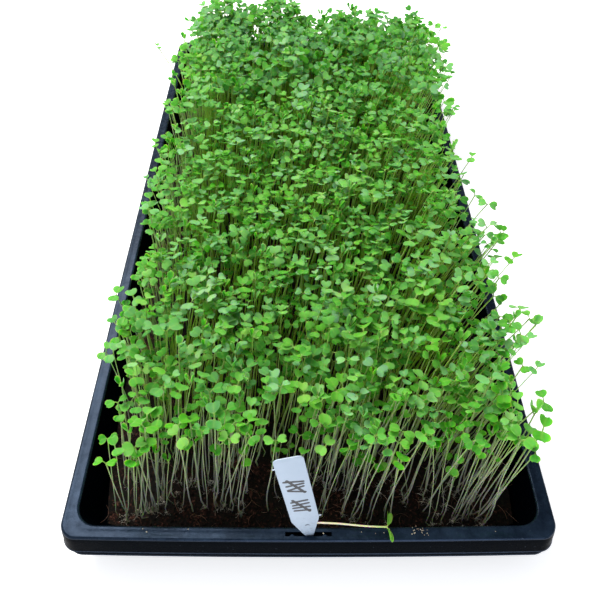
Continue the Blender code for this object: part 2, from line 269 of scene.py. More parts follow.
# --- node trees -----------------------------------------------------------------------
class Node(Enum):
    """A kind of node: type name, settings, the inputs that values fill in turn, and the output to use."""

    ABSOLUTE = ("ShaderNodeMath", {"operation": "ABSOLUTE"}, (0,), 0)
    ADD = ("ShaderNodeMath", {"operation": "ADD"}, (0, 1), 0)
    DIVIDE = ("ShaderNodeMath", {"operation": "DIVIDE"}, (0, 1), 0)
    MAXIMUM = ("ShaderNodeMath", {"operation": "MAXIMUM"}, (0, 1), 0)
    MULTIPLY = ("ShaderNodeMath", {"operation": "MULTIPLY"}, (0, 1), 0)
    MULTIPLY_ADD = ("ShaderNodeMath", {"operation": "MULTIPLY_ADD"}, (0, 1, 2), 0)
    POWER = ("ShaderNodeMath", {"operation": "POWER"}, (0, 1), 0)
    SUBTRACT = ("ShaderNodeMath", {"operation": "SUBTRACT"}, (0, 1), 0)
    SCALE = ("ShaderNodeVectorMath", {"operation": "SCALE"}, (0, "Scale"), 0)
    MIX = ("ShaderNodeMix", {"data_type": "RGBA"}, (0, 6, 7), 2)
    RANGE = ("ShaderNodeMapRange", {}, (0, 1, 2, 3, 4), 0)
    NOISE = ("ShaderNodeTexNoise", {}, ("Vector", "Scale", "Detail", "Roughness"), 0)
    NOISE_4D = ("ShaderNodeTexNoise", {"noise_dimensions": "4D"}, ("W", "Scale", "Detail", "Roughness"), 0)
    RAMP = ("ShaderNodeValToRGB", {}, (0,), 0)
    BUMP = ("ShaderNodeBump", {}, ("Height", "Distance", "Strength"), 0)
    READ = ("ShaderNodeAttribute", {}, (), "Fac")
    PLACE = ("ShaderNodeTexCoord", {}, (), "Object")
    HEADING = ("ShaderNodeTexCoord", {}, (), "Generated")
    NORMAL = ("ShaderNodeNewGeometry", {}, (), "Normal")
    X_OF = ("ShaderNodeSeparateXYZ", {}, (0,), 0)
    Y_OF = ("ShaderNodeSeparateXYZ", {}, (0,), 1)
    Z_OF = ("ShaderNodeSeparateXYZ", {}, (0,), 2)
    VECTOR = ("ShaderNodeCombineXYZ", {}, (0, 1, 2), 0)
    FIELD = ("GeometryNodeInputNamedAttribute", {}, ("Name",), "Attribute")
    GRID = ("GeometryNodeMeshGrid", {}, ("Size X", "Size Y", "Vertices X", "Vertices Y"), "Mesh")
    LINE = ("GeometryNodeMeshLine", {}, ("Count", "Start Location", "Offset"), 0)
    CYLINDER = ("GeometryNodeMeshCylinder", {}, ("Vertices", "Radius", "Depth"), "Mesh")
    CUBE = ("GeometryNodeMeshCube", {}, ("Size",), "Mesh")
    OBJECT = ("GeometryNodeObjectInfo", {}, ("Object",), "Geometry")
    CUT = ("GeometryNodeMeshBoolean", {"operation": "DIFFERENCE", "solver": "EXACT"}, ("Mesh 1", "Mesh 2"), 0)
    JOIN = ("GeometryNodeMeshBoolean", {"operation": "UNION", "solver": "EXACT"}, ("Mesh 2",), 0)
    SHAPES = ("GeometryNodeCollectionInfo", {}, ("Collection", "Separate Children", "Reset Children"), 0)
    STAND = ("GeometryNodeInstanceOnPoints", {}, ("Points", "Instance"), 0)
    PICK = (
        "GeometryNodeInstanceOnPoints",
        {},
        ("Points", "Instance", "Pick Instance", "Instance Index", "Rotation", "Scale"),
        0,
    )
    MOVE = ("GeometryNodeSetPosition", {}, ("Geometry", "Offset"), 0)
    REAL = ("GeometryNodeRealizeInstances", {}, (0,), 0)
    DRESS = ("GeometryNodeSetMaterial", {}, ("Geometry", "Material"), 0)


class Graph:
    """A node tree that nodes are added to."""

    def __init__(self, tree: NodeTree) -> None:
        """Takes the tree."""
        self.tree = tree

    def feed(self, socket: NodeSocket, value: object) -> None:
        """Fills an input.

        Args:
            socket: the input.
            value: an output or a list of outputs to link, an sRGB colour, or a plain value.
        """
        if isinstance(value, (NodeSocket, list)):
            for each in value if isinstance(value, list) else [value]:
                self.tree.links.new(each, socket)
        elif isinstance(value, str) and value.startswith("#"):
            socket.default_value = linear(value)
        else:
            socket.default_value = value

    def add(self, node: Node, *values: object, **settings: object) -> NodeSocket:
        """Adds a node.

        Args:
            node: its kind.
            values: what its inputs get, in the kind's order.
            settings: its properties besides the kind's own; stops are a ramp's places and colours.

        Returns:
            The output that the kind names.
        """
        kind, fixed, inputs, output = node.value
        made = self.tree.nodes.new(kind)
        stops = settings.pop("stops", ())
        for name, value in {**fixed, **settings}.items():
            setattr(made, name, value)
        while stops and len(made.color_ramp.elements) < len(stops):
            made.color_ramp.elements.new(0.5)
        for index, (place, colour) in enumerate(stops):
            made.color_ramp.elements[index].position = place
            level = linear(colour) if isinstance(colour, str) else (colour, colour, colour, 1.0)
            made.color_ramp.elements[index].color = level
        for key, value in zip(inputs, values):
            self.feed(made.inputs[key], value)
        return made.outputs[output]


class Growth(Graph):
    """A Geometry Nodes tree that makes one mesh of another, with named inputs."""

    def __init__(self, name: str, sockets: dict[str, str]) -> None:
        """Starts the tree.

        Args:
            name: its name.
            sockets: its inputs besides Geometry and Finish, and their kinds, such as Float.
        """
        super().__init__(bpy.data.node_groups.new(name, "GeometryNodeTree"))
        face = self.tree.interface
        for title, kind in {"Geometry": "Geometry", **sockets, "Finish": "Material"}.items():
            face.new_socket(name=title, in_out="INPUT", socket_type="NodeSocket" + kind)
        face.new_socket(name="Geometry", in_out="OUTPUT", socket_type="NodeSocketGeometry")
        self.given = self.tree.nodes.new("NodeGroupInput").outputs

    def end(self, geometry: NodeSocket) -> None:
        """Ends the tree: real copies, the finish, and the output."""
        dressed = self.add(Node.DRESS, self.add(Node.REAL, geometry), self.given["Finish"])
        self.feed(self.tree.nodes.new("NodeGroupOutput").inputs[0], dressed)

    def grow(self, obj: Object, values: dict[str, object]) -> None:
        """Runs the tree on an object and keeps the result as its plain mesh.

        Args:
            obj: the object that the tree starts from.
            values: the tree's inputs by name.
        """
        modifier = obj.modifiers.new("growth", "NODES")
        modifier.node_group = self.tree
        for item in self.tree.interface.items_tree:
            if item.in_out == "INPUT" and item.name in values:
                modifier[item.identifier] = values[item.name]
        evaluated = obj.evaluated_get(bpy.context.evaluated_depsgraph_get())
        mesh = bpy.data.meshes.new_from_object(evaluated)
        obj.modifiers.remove(modifier)
        old, obj.data = obj.data, mesh
        bpy.data.meshes.remove(old)
        mesh.name = obj.name


# --- finishes -------------------------------------------------------------------------
@dataclass(frozen=True)
class Finish:
    """A material with one Principled shader. Each kind says what the shader's inputs get."""

    name: str

    def dress(self, graph: Graph, place: NodeSocket) -> dict[str, object]:
        """What the shader's inputs get.

        Args:
            graph: the material's nodes.
            place: the Object coordinates.

        Returns:
            Outputs or values by the input's name.
        """
        raise NotImplementedError

    def material(self) -> Material:
        """Builds the material."""
        material = bpy.data.materials.new(self.name)
        material.use_nodes = True
        graph = Graph(material.node_tree)
        shader = graph.tree.nodes["Principled BSDF"]
        for name, value in self.dress(graph, graph.add(Node.PLACE)).items():
            graph.feed(shader.inputs[name], value)
        return material


@dataclass(frozen=True)
class MouldedStyrene(Finish):
    """Vacuum-formed black polystyrene: dark and slightly blue, semi-gloss, dusty where it faces up, with
    painted sky sheen there too.
    """

    name: str = "vacuum_formed_black_polystyrene"
    base: str = "#02050a"
    # Faces that look up: a film of dust, and painted sky sheen.
    film_and_sheen: str = "#0b1521"
    haze: str = "#2c3c4f"
    specks: str = "#5b6470"
    roughness: float = 0.26
    opening: tuple[float, float] = (RIM_HALF_X - FLANGE, RIM_HALF_X - FLANGE + END_EXTRA)
    rim: float = NEST + DEPTH
    # How far it shines where it faces down or sideways, at the rounded edges, and where it faces up.
    shine: Stops = ((0.30, 0.003), (0.48, 0.50), (0.80, 0.60), (0.95, 0.19))

    def exposed(self, graph: Graph, place: NodeSocket) -> NodeSocket:
        """How much handling, dust and painted sheen each place gets.

        Args:
            graph: the material's nodes.
            place: the Object coordinates.

        Returns:
            One on the rim and the outside, zero inside the tray.
        """
        height = graph.add(Node.Z_OF, place)
        share = graph.add(Node.RANGE, height, self.rim - 0.0065, self.rim - 0.0035)
        for axis, half in zip((Node.X_OF, Node.Y_OF), self.opening):
            away = graph.add(Node.ABSOLUTE, graph.add(axis, place))
            outer = graph.add(Node.RANGE, away, half - 0.0045, half - 0.0015)
            share = graph.add(Node.MAXIMUM, share, outer)
        return share

    def dress(self, graph: Graph, place: NodeSocket) -> dict[str, object]:
        """What the shader's inputs get."""
        exposed = self.exposed(graph, place)
        upwards = graph.add(Node.Z_OF, graph.add(Node.NORMAL))
        # Dust and dried water lie in blotches of 10-20 mm on the surfaces that face up.
        dust = graph.add(
            Node.RANGE, graph.add(Node.NOISE, place, 1 / (16 * MM), 5.0, 0.62), 0.42, 0.74, 0.0, 0.55
        )
        lying = graph.add(Node.MULTIPLY, graph.add(Node.RANGE, upwards, 0.30, 0.92), exposed)
        # Faces that look up take the bluish film colour: a film of dust with painted sky sheen.
        colour = graph.add(Node.MIX, lying, self.base, self.film_and_sheen)
        colour = graph.add(Node.MIX, graph.add(Node.MULTIPLY, dust, lying), colour, self.haze)
        # Fine specks of peat and scuffs, about 1 mm.
        speckled = graph.add(
            Node.RANGE, graph.add(Node.NOISE, place, 1 / (1.1 * MM), 1.0), 0.74, 0.80, 0.0, 0.30
        )
        # Scuffs of 5 mm and less dull the shine in patches.
        scuff = graph.add(Node.NOISE, place, 1 / (5 * MM), 5.0, 0.65)
        return {
            "Base Color": graph.add(Node.MIX, speckled, colour, self.specks),
            "Roughness": graph.add(
                Node.RANGE, scuff, 0.35, 0.70, self.roughness - 0.08, self.roughness + 0.12
            ),
            # The walls and skirts carry the mould's matt grain; handling has polished the rounded edges.
            "Specular IOR Level": graph.add(
                Node.MULTIPLY, graph.add(Node.RAMP, upwards, stops=self.shine), exposed
            ),
            "Specular Tint": "#b2d0ff",
            "Normal": graph.add(Node.BUMP, graph.add(Node.NOISE, place, 1 / (1.6 * MM)), 0.06 * MM),
        }


@dataclass(frozen=True)
class MoistCoir(Finish):
    """Moist coconut coir: a dark red-brown crumb of pith with paler bits, almost without shine."""

    name: str = "moist_coconut_coir"
    stops: Stops = (
        (0.0, "#020101"),
        (0.45, "#0b0604"),
        (0.66, "#1d0f0a"),
        (0.84, "#3b211a"),
        (1.0, "#5f4136"),
    )

    def dress(self, graph: Graph, place: NodeSocket) -> dict[str, object]:
        """What the shader's inputs get."""
        coarse = graph.add(Node.NOISE, place, 1 / (14 * MM), 3.0, 0.6)
        fine = graph.add(Node.NOISE, place, 1 / (1.6 * MM), 3.0, 0.65)
        contrast = graph.add(Node.RANGE, graph.add(Node.MIX, 0.66, coarse, fine), 0.38, 0.66)
        return {
            "Base Color": graph.add(Node.RAMP, contrast, stops=self.stops),
            "Roughness": graph.add(Node.RANGE, coarse, 0.3, 0.7, 0.62, 0.95),
            "Specular IOR Level": 0.12,
            "Normal": graph.add(Node.BUMP, fine, 1.0 * MM, 0.9),
        }


@dataclass(frozen=True)
class CoirFibre(Finish):
    """Dry coconut fibre: straw to reddish brown, a little glossy along its length."""

    name: str = "coconut_fibre"
    stops: Stops = ((0.0, "#3a1f14"), (0.5, "#7a5540"), (1.0, "#d6cab3"))

    def dress(self, graph: Graph, place: NodeSocket) -> dict[str, object]:
        """What the shader's inputs get."""
        share = graph.add(
            Node.MULTIPLY_ADD,
            graph.add(Node.NOISE, place, 1 / (2 * MM)),
            0.4,
            graph.add(Node.READ, attribute_name="tint"),
        )
        return {
            "Base Color": graph.add(Node.RAMP, graph.add(Node.RANGE, share, 0.2, 1.2), stops=self.stops),
            "Roughness": 0.6,
        }


@dataclass(frozen=True)
class PatchedFinish(Finish):
    """A matt stuff of two near colours that change over in small patches."""

    first: str
    second: str
    patch: float  # size of the patches
    change: tuple[float, float, float]  # the noise where they start and end, and how far they go
    roughness: float

    def dress(self, graph: Graph, place: NodeSocket) -> dict[str, object]:
        """What the shader's inputs get."""
        start, end, most = self.change
        share = graph.add(Node.RANGE, graph.add(Node.NOISE, place, 1 / self.patch), start, end, 0.0, most)
        return {
            "Base Color": graph.add(Node.MIX, share, self.first, self.second),
            "Roughness": self.roughness,
        }


@dataclass(frozen=True)
class RootHair(PatchedFinish):
    """Living root and its hairs: wet and white, stained by the coir in places."""

    name: str = "living_white_root"
    first: str = "#dedccf"
    second: str = "#9c8f7b"
    patch: float = 3 * MM
    change: tuple[float, float, float] = (0.4, 0.7, 1.0)
    roughness: float = 0.45


@dataclass(frozen=True)
class MarkerInk(PatchedFinish):
    """Waterproof marker ink: a blue-black film that has dried thinner in places."""

    name: str = "waterproof_marker_ink"
    first: str = "#0c0f16"
    second: str = "#202736"
    patch: float = 1.2 * MM
    change: tuple[float, float, float] = (0.35, 0.7, 1.0)
    roughness: float = 0.4


@dataclass(frozen=True)
class StudioPaper(PatchedFinish):
    """Matt white paper on a light table, which keeps the shadow on it pale."""

    name: str = "matt_white_paper"
    first: str = "#fafafa"
    second: str = "#f6f6f8"
    patch: float = 400 * MM
    change: tuple[float, float, float] = (0.3, 0.7, 0.2)
    roughness: float = 0.9
    glow: float = 0.60

    def dress(self, graph: Graph, place: NodeSocket) -> dict[str, object]:
        """What the shader's inputs get."""
        lit = {"Specular IOR Level": 0.1, "Emission Color": self.first, "Emission Strength": self.glow}
        return {**super().dress(graph, place), **lit}


@dataclass(frozen=True)
class SeedlingTissue(Finish):
    """Living broccoli seedling: a pale stem that greens upwards, and waxy seed leaves; stems inside the crop
    get painted shade, and the leaves' bloom colour also serves as painted sheen.
    """

    name: str = "living_broccoli_seedling"
    stem: Stops = (
        (0.0, "#a8a598"),
        (0.28, "#989a8e"),
        (0.50, "#90967f"),
        (0.76, "#909d72"),
        (1.0, "#7a9b48"),
    )
    leaf: Stops = (
        (0.0, "#206806"),
        (0.25, "#32840f"),
        (0.55, "#4f9d23"),
        (0.82, "#65a83a"),
        (1.0, "#78ae3e"),
    )
    stem_patch: str = "#bfc0a2"
    shaded_stem: str = "#94c02c"
    # Blue-grey wax bloom, also used as painted sheen.
    bloom: str = "#8eb89a"
    underside: str = "#54921e"
    midrib: str = "#93c14c"
    roughness: float = 0.48
    scattering: float = 0.60

    def dress(self, graph: Graph, place: NodeSocket) -> dict[str, object]:
        """What the shader's inputs get."""
        patch = graph.add(Node.NOISE, place, 1 / (4.5 * MM), 3.0, 0.55)
        along = graph.add(Node.READ, attribute_name="along")
        stem = graph.add(Node.RAMP, along, stops=self.stem)
        stem = graph.add(Node.MIX, graph.add(Node.RANGE, patch, 0.45, 0.7, 0.0, 0.35), stem, self.stem_patch)
        # Painted shade: inside the crop a stem's colour turns greener, standing in for the light that reaches
        # it only through leaves.
        covered = graph.add(
            Node.MULTIPLY,
            graph.add(Node.READ, attribute_name="shade"),
            graph.add(Node.RANGE, along, 0.55, 1.0, 0.88, 0.25),
        )
        stem = graph.add(Node.MIX, covered, stem, self.shaded_stem)
        tint = graph.add(
            Node.MULTIPLY_ADD, patch, 0.36, graph.add(Node.READ, attribute_name="tint"), use_clamp=True
        )
        leaf = graph.add(Node.RAMP, graph.add(Node.RANGE, tint, 0.12, 1.06), stops=self.leaf)
        # The waxy bloom of the cabbage family dulls some leaves towards blue-grey; the same colour serves as
        # painted sheen where the tops stand out.
        leaf = graph.add(
            Node.MIX,
            graph.add(Node.RANGE, graph.add(Node.READ, attribute_name="bloom"), 0.0, 1.0, 0.0, 0.50),
            leaf,
            self.bloom,
        )
        rib = graph.add(Node.POWER, graph.add(Node.READ, attribute_name="rib"), 5.0)
        leaf = graph.add(Node.MIX, graph.add(Node.RANGE, rib, 0.0, 1.0, 0.0, 0.22), leaf, self.midrib)
        leaf = graph.add(
            Node.MIX,
            graph.add(Node.RANGE, graph.add(Node.READ, attribute_name="upper"), 0.15, 0.45, 0.55, 0.0),
            leaf,
            self.underside,
        )
        # Side veins stand about 1.5 mm apart.
        veins = graph.add(Node.NOISE, place, 1 / (1.6 * MM))
        return {
            "Base Color": graph.add(
                Node.MIX,
                graph.add(Node.RANGE, graph.add(Node.READ, attribute_name="blade"), 0.3, 0.9),
                stem,
                leaf,
            ),
            "Roughness": graph.add(Node.RANGE, patch, 0.3, 0.7, self.roughness - 0.08, self.roughness + 0.10),
            "Specular IOR Level": 0.12,
            # Light passes through the thin blades, so a shaded leaf glows yellow-green.
            "Subsurface Weight": self.scattering,
            "Subsurface Radius": (0.36, 1.0, 0.10),
            "Subsurface Scale": 1.6 * MM,
            "Normal": graph.add(Node.BUMP, veins, 0.12 * MM, 0.7),
        }


@dataclass(frozen=True)
class LabelPlastic(Finish):
    """Injection-moulded white polypropylene: cool white, satin, slightly soiled at its tip."""

    name: str = "white_polypropylene"
    base: str = "#a2b2c4"
    worn: str = "#95a5b8"
    grime: str = "#737b87"
    # The crescent's dark colour: painted shade of the gate's groove.
    painted_gate_shade: str = "#3c444f"
    tip_z: float = 0.0
    soiled: float = 0.030  # how far up from its tip

    def dress(self, graph: Graph, place: NodeSocket) -> dict[str, object]:
        """What the shader's inputs get."""
        near_tip = graph.add(
            Node.RANGE, graph.add(Node.Z_OF, place), self.tip_z, self.tip_z + self.soiled, 1.0, 0.0
        )
        stain = graph.add(
            Node.RANGE, graph.add(Node.NOISE, place, 1 / (2.2 * MM), 4.0, 0.7), 0.52, 0.70, 0.0, 0.9
        )
        faint = graph.add(
            Node.RANGE, graph.add(Node.NOISE, place, 1 / (12 * MM), 3.0, 0.6), 0.3, 0.8, 0.0, 0.18
        )
        colour = graph.add(Node.MIX, faint, self.base, self.worn)
        colour = graph.add(Node.MIX, graph.add(Node.MULTIPLY, near_tip, stain), colour, self.grime)
        # The crescent left by the mould's gate is coloured dark: painted shade of its groove.
        return {
            "Base Color": graph.add(
                Node.MIX, graph.add(Node.READ, attribute_name="grime"), colour, self.painted_gate_shade
            ),
            "Roughness": graph.add(
                Node.RANGE, graph.add(Node.NOISE, place, 1 / (4 * MM), 3.0), 0.3, 0.7, 0.34, 0.48
            ),
            "Subsurface Weight": 0.15,
            "Subsurface Radius": (1.0, 1.0, 1.0),
            "Subsurface Scale": 2 * MM,
            "Normal": graph.add(Node.BUMP, graph.add(Node.NOISE, place, 1 / (1.2 * MM)), 0.03 * MM),
        }


# --- trays ----------------------------------------------------------------------------
@dataclass
class Tray:
    """One vacuum-formed tray: floor, sloping walls, flat flange and down-turned skirt."""

    piece: str
    node: str
    finish: Material
    base: float
    rim_half_x: float
    opening_half_x: float
    depth: float = DEPTH
    plastic: float = PLASTIC
    skirt: float = 0.0150
    end_bow: float = 0.0015
    side_extra: float = 0.0007  # how much wider the side flanges are than the end ones
    corner_outer: float = 0.0098
    corner_opening: float = 0.0115
    corner_floor: float = 0.0090
    fillet: float = 0.0040
    edge_round: float = 0.0016
    lip: float = 0.0004
    sag: float = 0.00025
    ripple: float = 0.00018  # how far the long sides wave
    corner_steps: int = 12
    side_steps: int = 16
    end_steps: int = 12
    arc_steps: int = 5
    sharp: float = 32.0

    def section(self) -> list[Point]:
        """Points of the upper surface, from the floor's edge out to the skirt's.

        Returns:
            (half width, height, corner radius) of each point.
        """
        top, edge = self.base + self.depth, self.edge_round
        inner, outer = self.opening_half_x + edge, self.rim_half_x - edge
        floor_half = self.opening_half_x - (self.depth - self.fillet) * WALL_SLOPE
        points = []
        for sine, rise in arc(math.pi / 2 - math.atan(WALL_SLOPE), self.arc_steps):
            x = floor_half - self.fillet + self.fillet * sine
            points.append((x, self.base + self.plastic + self.fillet * rise, self.corner_floor))
        for sine, rise in arc(math.pi / 2, self.arc_steps):
            out = edge * rise
            points.append((self.opening_half_x + out, top - edge + edge * sine, self.corner_opening + out))
        for share in (0.25, 0.5, 0.75):
            corner = self.corner_opening + (self.corner_outer - self.corner_opening) * share
            z = top - self.sag * math.sin(math.pi * share)
            points.append((inner + (outer - inner) * share, z, corner))
        for sine, rise in arc(math.pi / 2, self.arc_steps):
            inset = edge * (1 - sine)
            points.append((self.rim_half_x - inset, top - edge * rise, self.corner_outer - inset))
        for share, lip in ((0.35, 0.0), (0.7, 0.0), (0.92, 0.0), (0.95, 0.0), (0.975, 0.35), (1.0, 1.0)):
            z = top - edge - (self.skirt - edge) * share
            x = self.rim_half_x + (top - z) * SKIRT_SLOPE + lip * self.lip
            points.append((x, z, self.corner_outer + lip * self.lip))
        return points

    def ring(self, half_x: float, corner: float) -> list[tuple[float, float]]:
        """Points round a rounded rectangle whose ends bow outwards, anticlockwise.

        Args:
            half_x: half its width.
            corner: its corner radius.

        Returns:
            Pairs of x and y.
        """
        half_y = half_x + END_EXTRA
        out = (half_x - self.opening_half_x) / (self.rim_half_x - self.opening_half_x)
        half_x += self.side_extra * min(1.0, max(0.0, out))
        points = []
        for turn, (side_x, side_y) in enumerate(((1, 1), (-1, 1), (-1, -1), (1, -1))):
            mid_x, mid_y = side_x * (half_x - corner), side_y * (half_y - corner)
            for step in range(self.corner_steps + 1):
                angle = math.pi / 2 * (turn + step / self.corner_steps)
                points.append((mid_x + corner * math.cos(angle), mid_y + corner * math.sin(angle)))
            across = side_x == side_y
            count = self.end_steps if across else self.side_steps
            for share in (1 - 2 * step / count for step in range(1, count)):
                place = (mid_x * share, side_y * half_y) if across else (side_x * half_x, mid_y * share)
                points.append(place)
        bowed = []
        for x, y in points:
            bow = self.end_bow * max(0.0, 1 - (x / half_x) ** 2)
            wave = self.ripple * math.sin(y * 41.0 + 1.0) * max(0.0, 1 - (y / half_y) ** 2)
            bowed.append((x + math.copysign(wave, x) * min(1.0, abs(x) / 0.1), y + math.copysign(bow, y)))
        return bowed

    def shell(self) -> Mesh:
        """Builds the closed skin of the tray, with a floor on both sides."""
        upper, lower = self.section(), []
        thick = self.plastic
        for index, (x, z, corner) in enumerate(upper):
            before, after = upper[max(index - 1, 0)], upper[min(index + 1, len(upper) - 1)]
            along = Vector((after[0] - before[0], after[1] - before[1])).normalized()
            lower.append((x + along.y * thick, z - along.x * thick, corner + along.y * thick))
        lower[0] = (upper[0][0], self.base, upper[0][2])
        bm = bmesh.new()
        rings = []
        for x, z, corner in upper + lower[::-1]:
            rings.append([bm.verts.new((*place, z)) for place in self.ring(x, corner)])
        for inner, outer in zip(rings, rings[1:]):
            for i in range(len(inner)):
                j = (i + 1) % len(inner)
                bm.faces.new((inner[i], outer[i], outer[j], inner[j]))
        bm.faces.new(rings[0])
        bm.faces.new(rings[-1])
        return outwards_mesh(bm, self.piece)

    def rework(self, obj: Object) -> None:
        """Changes the plain shell."""
        raise NotImplementedError

    def build(self) -> None:
        """Builds the tray, with its sharp edges kept, in the CAD node's place."""
        obj = new_object(self.piece, self.shell())
        self.rework(obj)
        obj.data.materials.clear()
        obj.data.materials.append(self.finish)
        smooth_between(obj.data, self.sharp)
        place_piece(obj, "tray_plastic", self.node)


@dataclass
class GrowTray(Tray):
    """The upper tray: drainage holes in its floor and a slot for a label in its near flange."""

    hole_counts: tuple[int, int] = (4, 8)
    hole_pitch: tuple[float, float] = (0.056, 0.060)
    hole_radius: float = 0.0035
    hole_sides: int = 20
    slot_length: float = 0.0262
    slot_width: float = 0.0023
    lug_radius: float = 0.0011
    lug_from_end: float = 0.0040

    def perforation(self) -> Growth:
        """A tree that cuts a grid of round holes and one more opening out of a mesh."""
        sizes = dict.fromkeys(("Pitch X", "Pitch Y", "Radius", "Depth", "Height"), "Float")
        tree = Growth("perforate_floor", {"Columns": "Int", "Rows": "Int", **sizes, "Slot": "Object"})
        given, spans = tree.given, []
        for count, pitch in (("Columns", "Pitch X"), ("Rows", "Pitch Y")):
            gaps = tree.add(Node.SUBTRACT, given[count], 1.0)
            spans.append(tree.add(Node.MULTIPLY, gaps, given[pitch]))
        grid = tree.add(Node.GRID, *spans, given["Columns"], given["Rows"])
        raised = tree.add(Node.MOVE, grid, tree.add(Node.VECTOR, 0.0, 0.0, given["Height"]))
        drill = tree.add(Node.CYLINDER, self.hole_sides, given["Radius"], given["Depth"])
        drills = tree.add(Node.REAL, tree.add(Node.STAND, raised, drill))
        slot = tree.add(Node.OBJECT, given["Slot"])
        tree.end(tree.add(Node.CUT, given["Geometry"], [drills, slot]))
        return tree

    def slot_cutter(self) -> Object:
        """The label slot as a block: a rectangle with two half-round lugs on its outer side."""
        half_x, half_y = self.slot_length / 2, self.slot_width / 2
        outline = [(-half_x, half_y), (-half_x, -half_y)]
        for lug in (-half_x + self.lug_from_end, half_x - self.lug_from_end):
            for angle in (math.pi * (1 - step / 8) for step in range(9)):
                x = lug + self.lug_radius * math.cos(angle)
                outline.append((x, -half_y + self.lug_radius * math.sin(angle)))
        outline += [(half_x, -half_y), (half_x, half_y)]
        middle = -(self.rim_half_x + END_EXTRA) + SLOT_INSET
        bottom = self.base + self.depth - 2 * self.plastic
        bm = bmesh.new()
        add_plate(bm, [(x, middle + y, bottom) for x, y in outline], (0, 0, 3 * self.plastic))
        return new_object("slot_cutter", outwards_mesh(bm, "slot_cutter"))

    def rework(self, obj: Object) -> None:
        """Cuts the drainage holes and the slot."""
        slot = self.slot_cutter()
        values = {
            **dict(zip(("Columns", "Rows"), self.hole_counts)),
            **dict(zip(("Pitch X", "Pitch Y"), self.hole_pitch)),
            "Radius": self.hole_radius,
            "Depth": 4 * self.plastic,
            "Height": self.base + self.plastic / 2,
            "Slot": slot,
            "Finish": self.finish,
        }
        self.perforation().grow(obj, values)
        bpy.data.objects.remove(slot)


@dataclass
class DripTray(Tray):
    """The lower tray: no holes, and ribs on its floor that hold the grow tray off it."""

    rib_count: int = 4
    rib_pitch: float = 0.056
    rib_width: float = 0.005
    rib_length: float = 0.420
    rib_top: float = 0.0072

    def ribbing(self) -> Growth:
        """A tree that stands a line of ribs on the floor as one body with it."""
        sizes = dict.fromkeys(("Pitch", "Width", "Length", "Bottom", "Top"), "Float")
        tree = Growth("rib_floor", {"Count": "Int", **sizes})
        given = tree.given
        height = tree.add(Node.SUBTRACT, given["Top"], given["Bottom"])
        middle = tree.add(Node.MULTIPLY, tree.add(Node.ADD, given["Top"], given["Bottom"]), 0.5)
        spread = tree.add(Node.MULTIPLY, tree.add(Node.SUBTRACT, given["Count"], 1.0), given["Pitch"])
        start = tree.add(Node.VECTOR, tree.add(Node.MULTIPLY, spread, -0.5), 0.0, middle)
        line = tree.add(Node.LINE, given["Count"], start, tree.add(Node.VECTOR, given["Pitch"]))
        rib = tree.add(Node.CUBE, tree.add(Node.VECTOR, given["Width"], given["Length"], height))
        ribs = tree.add(Node.REAL, tree.add(Node.STAND, line, rib))
        tree.end(tree.add(Node.JOIN, [given["Geometry"], ribs]))
        return tree

    def rework(self, obj: Object) -> None:
        """Stands the ribs on the floor."""
        values = {
            "Count": self.rib_count,
            "Pitch": self.rib_pitch,
            "Width": self.rib_width,
            "Length": self.rib_length,
            "Bottom": self.plastic / 2,
            "Top": self.rib_top,
            "Finish": self.finish,
        }
        self.ribbing().grow(obj, values)


# --- scattering -----------------------------------------------------------------------
def sowing_tree() -> Growth:
    """A tree that puts shapes on points and leans them.

    Each point says which shape it gets (shape), how it is turned (turn) and scaled (size), and
    how far its top is pushed over (lean). A shape's own attribute, along, says how much of that
    push each of its points takes.

    Returns:
        The tree, with the inputs Shapes, Bend and Finish.
    """
    tree = Growth("sow", {"Shapes": "Collection", "Bend": "Float"})
    shapes = tree.add(Node.SHAPES, tree.given["Shapes"], True, True)
    pick = tree.add(Node.FIELD, "shape", data_type="INT")
    turn, size, lean = [
        tree.add(Node.FIELD, name, data_type="FLOAT_VECTOR")
        for name in ("turn", "size", "lean")
    ]
    standing = tree.add(Node.PICK, tree.given["Geometry"], shapes, True, pick, turn, size)
    share = tree.add(Node.POWER, tree.add(Node.FIELD, "along"), tree.given["Bend"])
    push = tree.add(Node.SCALE, lean, share)
    tree.end(tree.add(Node.MOVE, tree.add(Node.REAL, standing), push))
    return tree


def set_field(mesh: Mesh, name: str, values: np.ndarray) -> None:
    """Gives a mesh's points an attribute.

    Args:
        mesh: the mesh.
        name: the attribute's name.
        values: whole numbers, numbers or rows of three, one for each point.
    """
    kind, part = ("FLOAT_VECTOR", "vector") if values.ndim == 2 else ("FLOAT", "value")
    if values.dtype.kind == "i":
        kind = "INT"
    layer = mesh.attributes.new(name, kind, "POINT")
    layer.data.foreach_set(part, values.astype(np.int32 if kind == "INT" else np.float32).ravel())


def scatter(
    name: str,
    sow: Growth,
    shapes: list[Mesh],
    finish: Material,
    places: np.ndarray,
    fields: dict[str, np.ndarray],
    bend: float = 1.0,
) -> Object:
    """Makes one piece from shapes on points.

    Args:
        name: the piece's name.
        sow: the sowing tree.
        shapes: the shapes that the points pick from.
        finish: the piece's material.
        places: one row of x, y, z for each point.
        fields: the points' attributes.
        bend: over 1, a lean starts late.

    Returns:
        The piece, as a plain mesh.
    """
    hidden = bpy.data.collections.new("shapes")
    for index, mesh in enumerate(shapes):
        hidden.objects.link(bpy.data.objects.new(f"shape_{index:02d}", mesh))
    points = bpy.data.meshes.new(name)
    points.from_pydata(places.tolist(), [], [])
    for title, values in fields.items():
        set_field(points, title, values)
    if "lean" not in fields:
        set_field(points, "lean", np.zeros((len(places), 3)))
    obj = new_object(name, points)
    sow.grow(obj, {"Shapes": hidden, "Bend": bend, "Finish": finish})
    for shape in list(hidden.objects):
        bpy.data.objects.remove(shape)
    bpy.data.collections.remove(hidden)
    for title in ("shape", "turn", "size", "lean"):
        drop_field(obj.data, title)
    return obj


